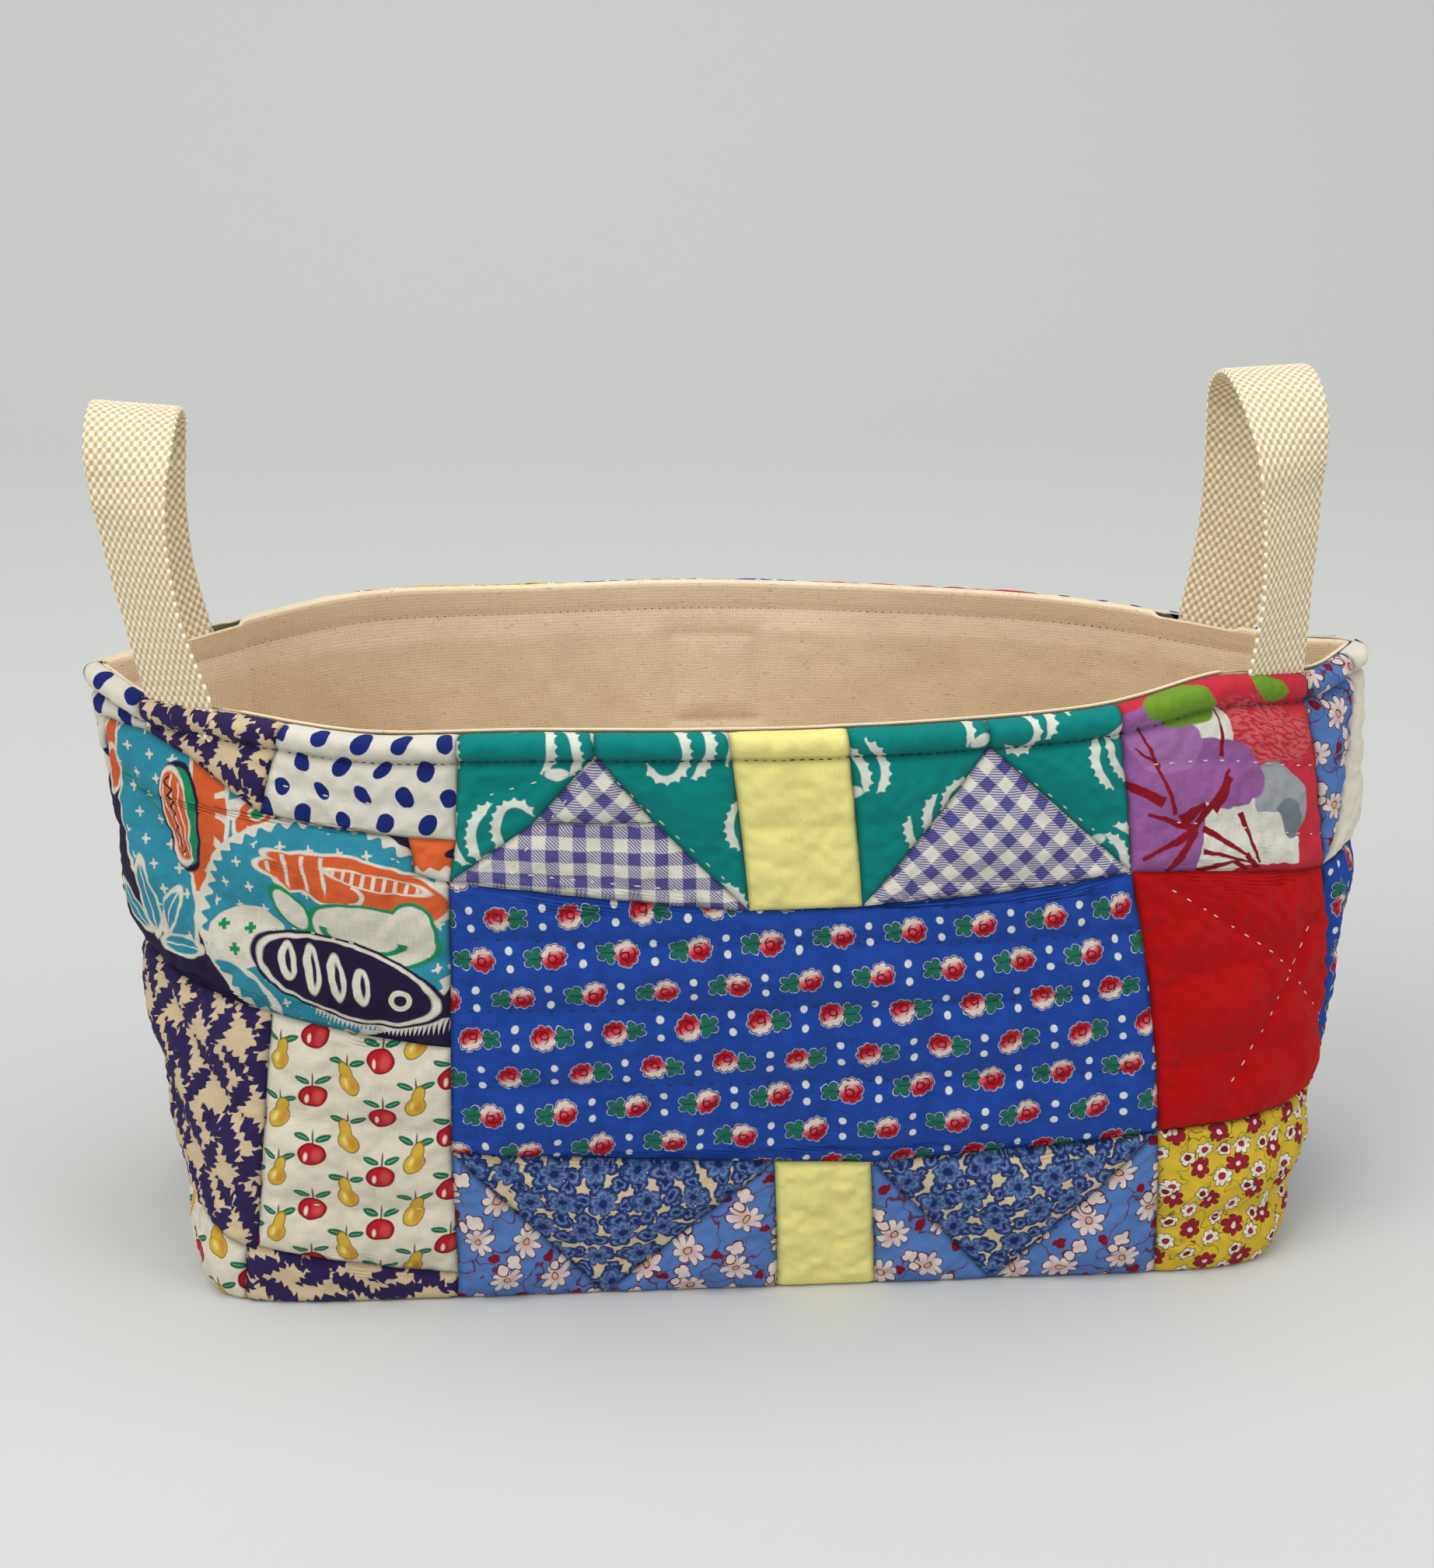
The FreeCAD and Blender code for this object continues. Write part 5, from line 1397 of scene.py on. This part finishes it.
def bottom_layer(name, node, inset, low, high, material, slot, sag=0.0):
    """A closed plate on the foot's outline: rings from the middle out, top then bottom."""
    plan = outline_rows([max(low, 0.1) / RIM], 161, inset)[0]
    outline = np.concatenate((np.stack(plan, 1), np.stack([plan[0][-2:0:-1], -plan[1][-2:0:-1]], 1)))
    share = np.concatenate((np.linspace(0, 0.94, 42), np.linspace(0.95, 1.0, 8)))
    flat = outline[None] * share[:, None, None]
    round_edge = np.sqrt(np.clip(1 - ((share - 0.985) / 0.015).clip(0, 1) ** 2, 0, 1))
    waves = sag * soft_noise(flat[..., 0], flat[..., 1] + 90, 26.0, 31)
    waves = waves * smooth_step((1 - share) / 0.2)[:, None]
    centre, half = (low + high) / 2, (high - low) / 2
    top = np.concatenate((flat, (centre + half * round_edge[:, None] + waves)[..., None]), -1)
    under = np.concatenate((flat, (centre - half * round_edge[:, None] + waves)[..., None]), -1)
    surface = np.concatenate((top[1:], under[-2:0:-1]))
    rings, around = surface.shape[:2]
    points = np.concatenate((surface.reshape(-1, 3), top[0, :1], under[0, :1]))
    index = np.arange(rings * around).reshape(rings, around)
    following = np.roll(index, -1, 1)
    quads = np.stack([index[:-1], index[1:], following[1:], following[:-1]], -1).reshape(-1, 4)
    lids = np.concatenate((
        np.stack([np.full(around, len(points) - 2), index[0], following[0]], 1),
        np.stack([np.full(around, len(points) - 1), following[-1], index[-1]], 1)))
    piece = surface_object(name, points, [quads[:, ::-1], lids[:, ::-1]], points[:, :2])
    sew_in(piece, material, slot, node)
    return piece, dict(flat=(np.ptp(outline, axis=0) * MM).tolist(), held="stretched",
                       area=polygon_area(outline) * MM * MM)


piece, flat_size = bottom_layer("base_cloth", "base_panel", inset=1.7, low=0.0, high=0.9,
                                material=base_cotton, slot="base_cloth")
piece, _ = bottom_layer("base_batting_pad", "base_batting", inset=4.6, low=1.1, high=4.6,
                        material=batting_cotton, slot="cotton_batting")
piece, flat_size = bottom_layer("base_duck_lining", "base_lining", inset=6.2, low=4.85, high=5.75,
                                material=duck, slot="cotton_duck", sag=0.35)

# ------------------------------------------------------------------ stitches
# The rim is topstitched by machine through all layers in navy thread: close dashes in a
# groove outside, dots inside.  The patches are quilted by hand in running stitches, some
# navy, most cream.
def stitches(name, start, end, normal, radius, lift, material, slot, *nodes):
    """Short stitches from start to end: thin tubes that bow up from the cloth and dive in.

    A stitch's height is a parabola of the way along it, and its radius falls at its ends
    as the root of one minus a fourth power.
    """
    rings, sides = 6, 6
    t = np.linspace(0, 1, rings)
    run_along = end - start
    centre = (start[:, None] + run_along[:, None] * t[None, :, None]
              + normal[:, None] * ((4 * t * (1 - t)) * lift - 0.6 * radius)[None, :, None])
    along = run_along / (np.linalg.norm(run_along, axis=1, keepdims=True) + 1e-9)
    across = np.cross(along, normal)
    turn = np.arange(sides) * 2 * math.pi / sides
    spread = (np.cos(turn)[None, :, None] * across[:, None]
              + np.sin(turn)[None, :, None] * normal[:, None])
    thick = radius * np.sqrt(np.clip(1.02 - (2 * t - 1) ** 4, 0, 1))
    points = centre[:, :, None] + spread[:, None] * thick[None, :, None, None]
    ring = np.arange(sides)
    after = (ring + 1) % sides
    quads = np.concatenate([np.stack([k * sides + ring, k * sides + after,
                                      (k + 1) * sides + after, (k + 1) * sides + ring], 1)
                            for k in range(rings - 1)])
    base = np.arange(len(start)) * rings * sides
    tubes = (quads[None] + base[:, None, None]).reshape(-1, 4)
    caps = [cap[None] + base[:, None] for cap in (ring[::-1], ring + (rings - 1) * sides)]
    piece = surface_object(name, points.reshape(-1, 3), [tubes, *caps])
    sew_in(piece, material, slot, *nodes)


navy_thread = plain_material("navy_thread", ink(34, 32, 66), roughness=0.7, lump=0.5, height=0.15)
cream_thread = plain_material("cream_thread", ink(236, 228, 205), roughness=0.7, lump=0.5, height=0.15)


def skin_stitches(run, up, step_run, step_up, face, raised):
    """Starts, ends and normals of stitches centred at places on the skin."""
    start, _ = skin_points(run - step_run, up - step_up, face, raised)
    end, _ = skin_points(run + step_run, up + step_up, face, raised)
    _, normal = skin_points(run, up, face)
    return start, end, normal


def lining_stitches(run, up, step_run, step_up, face):
    """Starts, ends and normals of stitches on the lining's inner face."""
    start = lining_lie(run - step_run, up - step_up, face)
    end = lining_lie(run + step_run, up + step_up, face)
    ahead, above = lining_lie(run + 0.7, up, face), lining_lie(run, up + 0.7, face)
    middle = lining_lie(run, up, face)
    normal = np.cross(ahead - middle, above - middle) * face
    normal /= np.linalg.norm(normal, axis=-1, keepdims=True)
    proud = normal * LINING_HALF_THICKNESS
    return start + proud, end + proud, normal


def sew(name, rows, radius, lift, material, slot, *nodes):
    """One piece of thread from several rows of stitches."""
    start, end, normal = (np.concatenate(part) for part in zip(*rows))
    stitches(name, start, end, normal, radius, lift, material, slot, *nodes)


TOPSTITCH_PITCH, TOPSTITCH_RADIUS, TOPSTITCH_LIFT = 2.55, 0.3, 0.12
HAND_PITCH, HAND_HALF, HAND_RADIUS, HAND_LIFT = 5.4, 0.8, 0.21, 0.15
dice = np.random.default_rng(41)
rows = []
for face in (FRONT, BACK):
    run = np.arange(-SEAM + 2.0, SEAM - 1.5, TOPSTITCH_PITCH)
    run = run + dice.normal(0, 0.08, len(run))
    up = HEM + 0.25 * soft_noise(run, run * 0, 18.0, 43)
    rows.append(skin_stitches(run, up, 1.0, 0.0, face, 0.1))
    rows.append(lining_stitches(run, up, 0.45, 0.0, face))
sew("rim_topstitch_thread", rows, TOPSTITCH_RADIUS, TOPSTITCH_LIFT, navy_thread, "navy_thread",
    "rim_topstitch")

for thread, material, slot in (("navy", navy_thread, "navy_thread"),
                               ("white", cream_thread, "cream_thread")):
    rows = []
    for face in (FRONT, BACK):
        for (run_a, up_a), (run_b, up_b), colour in QUILTING[face]:
            if colour != thread:
                continue
            length = math.hypot(run_b - run_a, up_b - up_a)
            count = int(length / HAND_PITCH)
            share = (np.arange(count) + 0.5 + dice.normal(0, 0.06, count)) / count
            half = HAND_HALF + dice.normal(0, 0.15, count)
            unit_run, unit_up = (run_b - run_a) / length, (up_b - up_a) / length
            rows.append(skin_stitches(run_a + (run_b - run_a) * share, up_a + (up_b - up_a) * share,
                                      unit_run * half, unit_up * half, face, 0.05))
    sew(f"{thread}_hand_quilting", rows, HAND_RADIUS, HAND_LIFT, material, slot)

# ------------------------------------------------------------------ the square patch
# A plain square of tape is sewn flat on the outside of the back, and its stitches show as a
# square on the lining.
OUTWARD = np.array([0.0, 1.0, 0.0])
SEWN_LINE, TAPE_THICKNESS, TAPE_STITCH_RADIUS = SQUARE_SIDE / 2 - SEW_IN, 0.7, 0.26
TAPE_OUT, THREAD_OUT = 1.9, 2.15          # how far they stand out from the even wall
cells = np.linspace(-SQUARE_SIDE / 2, SQUARE_SIDE / 2, 33)
across, along = np.meshgrid(cells, cells)
edge = np.maximum(np.abs(across), np.abs(along))
flat_on = place_on_wall(SQUARE_X + across, SQUARE_Z + along, BACK, depth=-TAPE_OUT)
sewn = 0.25 + 0.75 * smooth_step(np.abs(edge - SEWN_LINE) / 1.6)
top = flat_on + OUTWARD * (0.55 * sewn - 0.2)[..., None]
tape = plain("plain_tape", ink(226, 216, 192), heather=0.08)
square = wall_layer("square_patch_tape", "square_patch", BACK, top, top - OUTWARD * TAPE_THICKNESS,
                    tape, "plain_tape", np.tile(np.stack([across, along], -1).reshape(-1, 2), (2, 1)))

steps = np.arange(-13.0, 13.1, 2.6)
level, half = np.full_like(steps, SEWN_LINE), 0.85
sides = ((steps, level, half, 0.0), (steps, -level, half, 0.0),
         (level, steps, 0.0, half), (-level, steps, 0.0, half))
rows = [lining_stitches(SQUARE_X + x, SQUARE_Z + z, step_x, step_z, BACK)
        for x, z, step_x, step_z in sides]
for x, z, step_x, step_z in sides:
    step = np.array([step_x, 0, step_z])
    middle = place_on_wall(SQUARE_X + x, SQUARE_Z + z, BACK, depth=-THREAD_OUT)
    rows.append((middle - step, middle + step, np.tile(OUTWARD, (len(x), 1))))
sew("square_patch_thread", rows, TAPE_STITCH_RADIUS, TOPSTITCH_LIFT, cream_thread, "cream_thread",
    "square_patch_stitching")

# ------------------------------------------------------------------ the webbing handles
# Each handle is a loop of heavy one-inch cotton webbing, woven in a close lattice of nubs.
# Its ends lie along the two walls, which toe in towards the end of the basket, so the loop
# twists on its way up and leans over.
webbing = bpy.data.materials.new("cotton_webbing")
webbing.use_nodes = True
web_tree = webbing.node_tree
surface = web_tree.nodes["Principled BSDF"]
surface.inputs["Roughness"].default_value = 0.72
surface.inputs["Sheen Weight"].default_value = 0.15
# The webbing's colour follows the height of its nubs: painted light on the nub tops and painted shade
# in the hollows between them.
nub = web_tree.nodes.new("ShaderNodeAttribute")
nub.attribute_name = "nub"
ramp = web_tree.nodes.new("ShaderNodeValToRGB")
hollow_painted_shade, nub_top_painted_light = ramp.color_ramp.elements
hollow_painted_shade.position, hollow_painted_shade.color = 0.05, ink(190, 168, 126)
nub_top_painted_light.position, nub_top_painted_light.color = 0.85, ink(254, 247, 226)
middle_tone = ramp.color_ramp.elements.new(0.45)
middle_tone.color = ink(238, 222, 188)
web_tree.links.new(nub.outputs["Fac"], ramp.inputs["Fac"])
web_tree.links.new(ramp.outputs["Color"], surface.inputs["Base Color"])
place = web_tree.nodes.new("ShaderNodeTexCoord")
fuzz = web_tree.nodes.new("ShaderNodeTexNoise")
fuzz.inputs["Scale"].default_value = 2600.0
web_tree.links.new(place.outputs["Object"], fuzz.inputs["Vector"])
bump = web_tree.nodes.new("ShaderNodeBump")
bump.inputs["Distance"].default_value = 0.2 * MM
web_tree.links.new(fuzz.outputs["Fac"], bump.inputs["Height"])
web_tree.links.new(bump.outputs[0], surface.inputs["Normal"])

RIM_LEVEL, TAIL_FOOT = 176.0, 153.0        # where the loop leaves the wall, where its ends stop
STRAP_DEPTH, STRAP_THICKNESS = 4.4, 1.9
NUB_ACROSS, NUB_ALONG, NUB_HEIGHT = 2.55, 3.3, 0.36
# The turn of the webbing, in degrees, by its share of the way up from the rim.
TOE_SHARES, TOE_TURNS = (0, 0.3, 0.6, 0.8, 0.93, 1.0), (36, 43, 37, 26, 11, 0)


def strap_line(name):
    """Middle line, width direction and length of a loop, at even steps along it.

    The line climbs the front wall, rises with a slight outward bulge (a parabola of the
    height), goes over in a half circle as wide as the legs stand apart, and comes down
    behind.  The width direction lies along the wall at the rim, turns a little further
    out, and comes level along the basket at the top.
    """
    strap = STRAPS[name]
    side = -1 if name == "left" else 1
    seat, foot = ([place_on_wall(STRAP_RUNS[name, face], level, face, depth=STRAP_DEPTH)
                   for face in (FRONT, BACK)] for level in (RIM_LEVEL, TAIL_FOOT))
    half = (seat[1][1] - seat[0][1]) / 2
    shoulder = strap["top"] - half
    arch = np.linspace(-math.pi / 2, math.pi / 2, 121)
    leg = np.linspace(0, 1, 60)
    y = np.concatenate((foot[0][1] + (seat[0][1] - foot[0][1]) * leg, np.full(59, seat[0][1]),
                        half * np.sin(arch[1:]), np.full(59, seat[1][1]),
                        seat[1][1] + (foot[1][1] - seat[1][1]) * leg[1:]))
    z = np.concatenate((TAIL_FOOT + (RIM_LEVEL - TAIL_FOOT) * leg,
                        RIM_LEVEL + (shoulder - RIM_LEVEL) * leg[1:],
                        shoulder + half * np.cos(arch[1:]),
                        shoulder + (RIM_LEVEL - shoulder) * leg[1:],
                        RIM_LEVEL + (TAIL_FOOT - RIM_LEVEL) * leg[1:]))
    over = np.clip(z - RIM_LEVEL, 0, None)
    face_share = np.clip(y / half, -1, 1)
    x = (strap["middle"] - strap["front"] * face_share * np.clip(1 - over / 60, 0, 1)
         + strap["bulge"] * (1 - (1 - over / strap["reach"]) ** 2))
    line = np.stack([x, y, z], 1)
    along = np.concatenate(([0.0], np.cumsum(np.linalg.norm(np.diff(line, axis=0), axis=1))))
    length = along[-1]
    even = np.linspace(0, length, int(length / 0.36))
    line = np.stack([np.interp(even, along, line[:, k]) for k in range(3)], 1)
    kernel = np.hanning(41) / np.hanning(41).sum()
    padded = np.pad(line, ((20, 20), (0, 0)), "reflect", reflect_type="odd")
    line = np.stack([np.convolve(padded[:, k], kernel, "valid") for k in range(3)], 1)
    rise = np.clip((line[:, 2] - RIM_LEVEL) / (strap["top"] - RIM_LEVEL), 0, 1)
    toe = np.radians(np.interp(rise, TOE_SHARES, TOE_TURNS)) * np.sign(line[:, 1])
    tip = math.radians(strap["tip"]) * smooth_step((rise - 0.5) / 0.5)
    width = np.stack([np.cos(toe), -side * np.sin(toe), np.sin(tip)], 1)
    return line, width, even


def make_strap(name):
    """A strap swept along its line, with nubs on both faces.

    Height of the weave at a place (across, along) is the product of two cosines, raised
    to a soft round top; it falls away at the selvedges.
    """
    line, width, even = strap_line(name)
    tangent = np.gradient(line, axis=0)
    tangent /= np.linalg.norm(tangent, axis=1, keepdims=True)
    width = width - tangent * (width * tangent).sum(1, keepdims=True)
    width /= np.linalg.norm(width, axis=1, keepdims=True)
    normal = np.cross(width, tangent)
    across = np.linspace(-STRAP_WIDTH / 2, STRAP_WIDTH / 2, 62)
    s, a = np.meshgrid(even, across, indexing="ij")
    weave = np.cos(2 * math.pi * a / NUB_ACROSS) * np.cos(2 * math.pi * s / NUB_ALONG)
    nub = smooth_step((weave + 0.75) / 1.75)
    selvedge = np.sqrt(np.clip(1 - ((np.abs(a) - (STRAP_WIDTH / 2 - 0.9)) / 0.9).clip(0, 1) ** 2, 0, 1))
    edge_loop = 0.22 * np.cos(2 * math.pi * s / (NUB_ALONG / 2)) * (np.abs(a) > STRAP_WIDTH / 2 - 0.3)
    lift = (STRAP_THICKNESS / 2 - NUB_HEIGHT + NUB_HEIGHT * nub) * selvedge
    base = line[:, None] + width[:, None] * (a + np.sign(a) * edge_loop)[..., None]
    stand = normal[:, None] * lift[..., None]
    points, quads = closed_shell(base + stand, base - stand)
    # Painted light and shade: the nub height, dimmed on alternate rows of nubs, sets how light the
    # webbing is painted.
    nub_painted_light = nub * (0.86 + 0.14 * np.sign(np.cos(math.pi * s / NUB_ALONG * 2)))
    strap = surface_object(name + "_webbing_loop", points, [quads], nub=np.tile(nub_painted_light.ravel(), 2))
    strap.data.materials.append(webbing)
    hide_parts(name + "_handle_webbing", name + "_handle_tails")
    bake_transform(strap)


for strap_name in STRAPS:
    make_strap(strap_name)
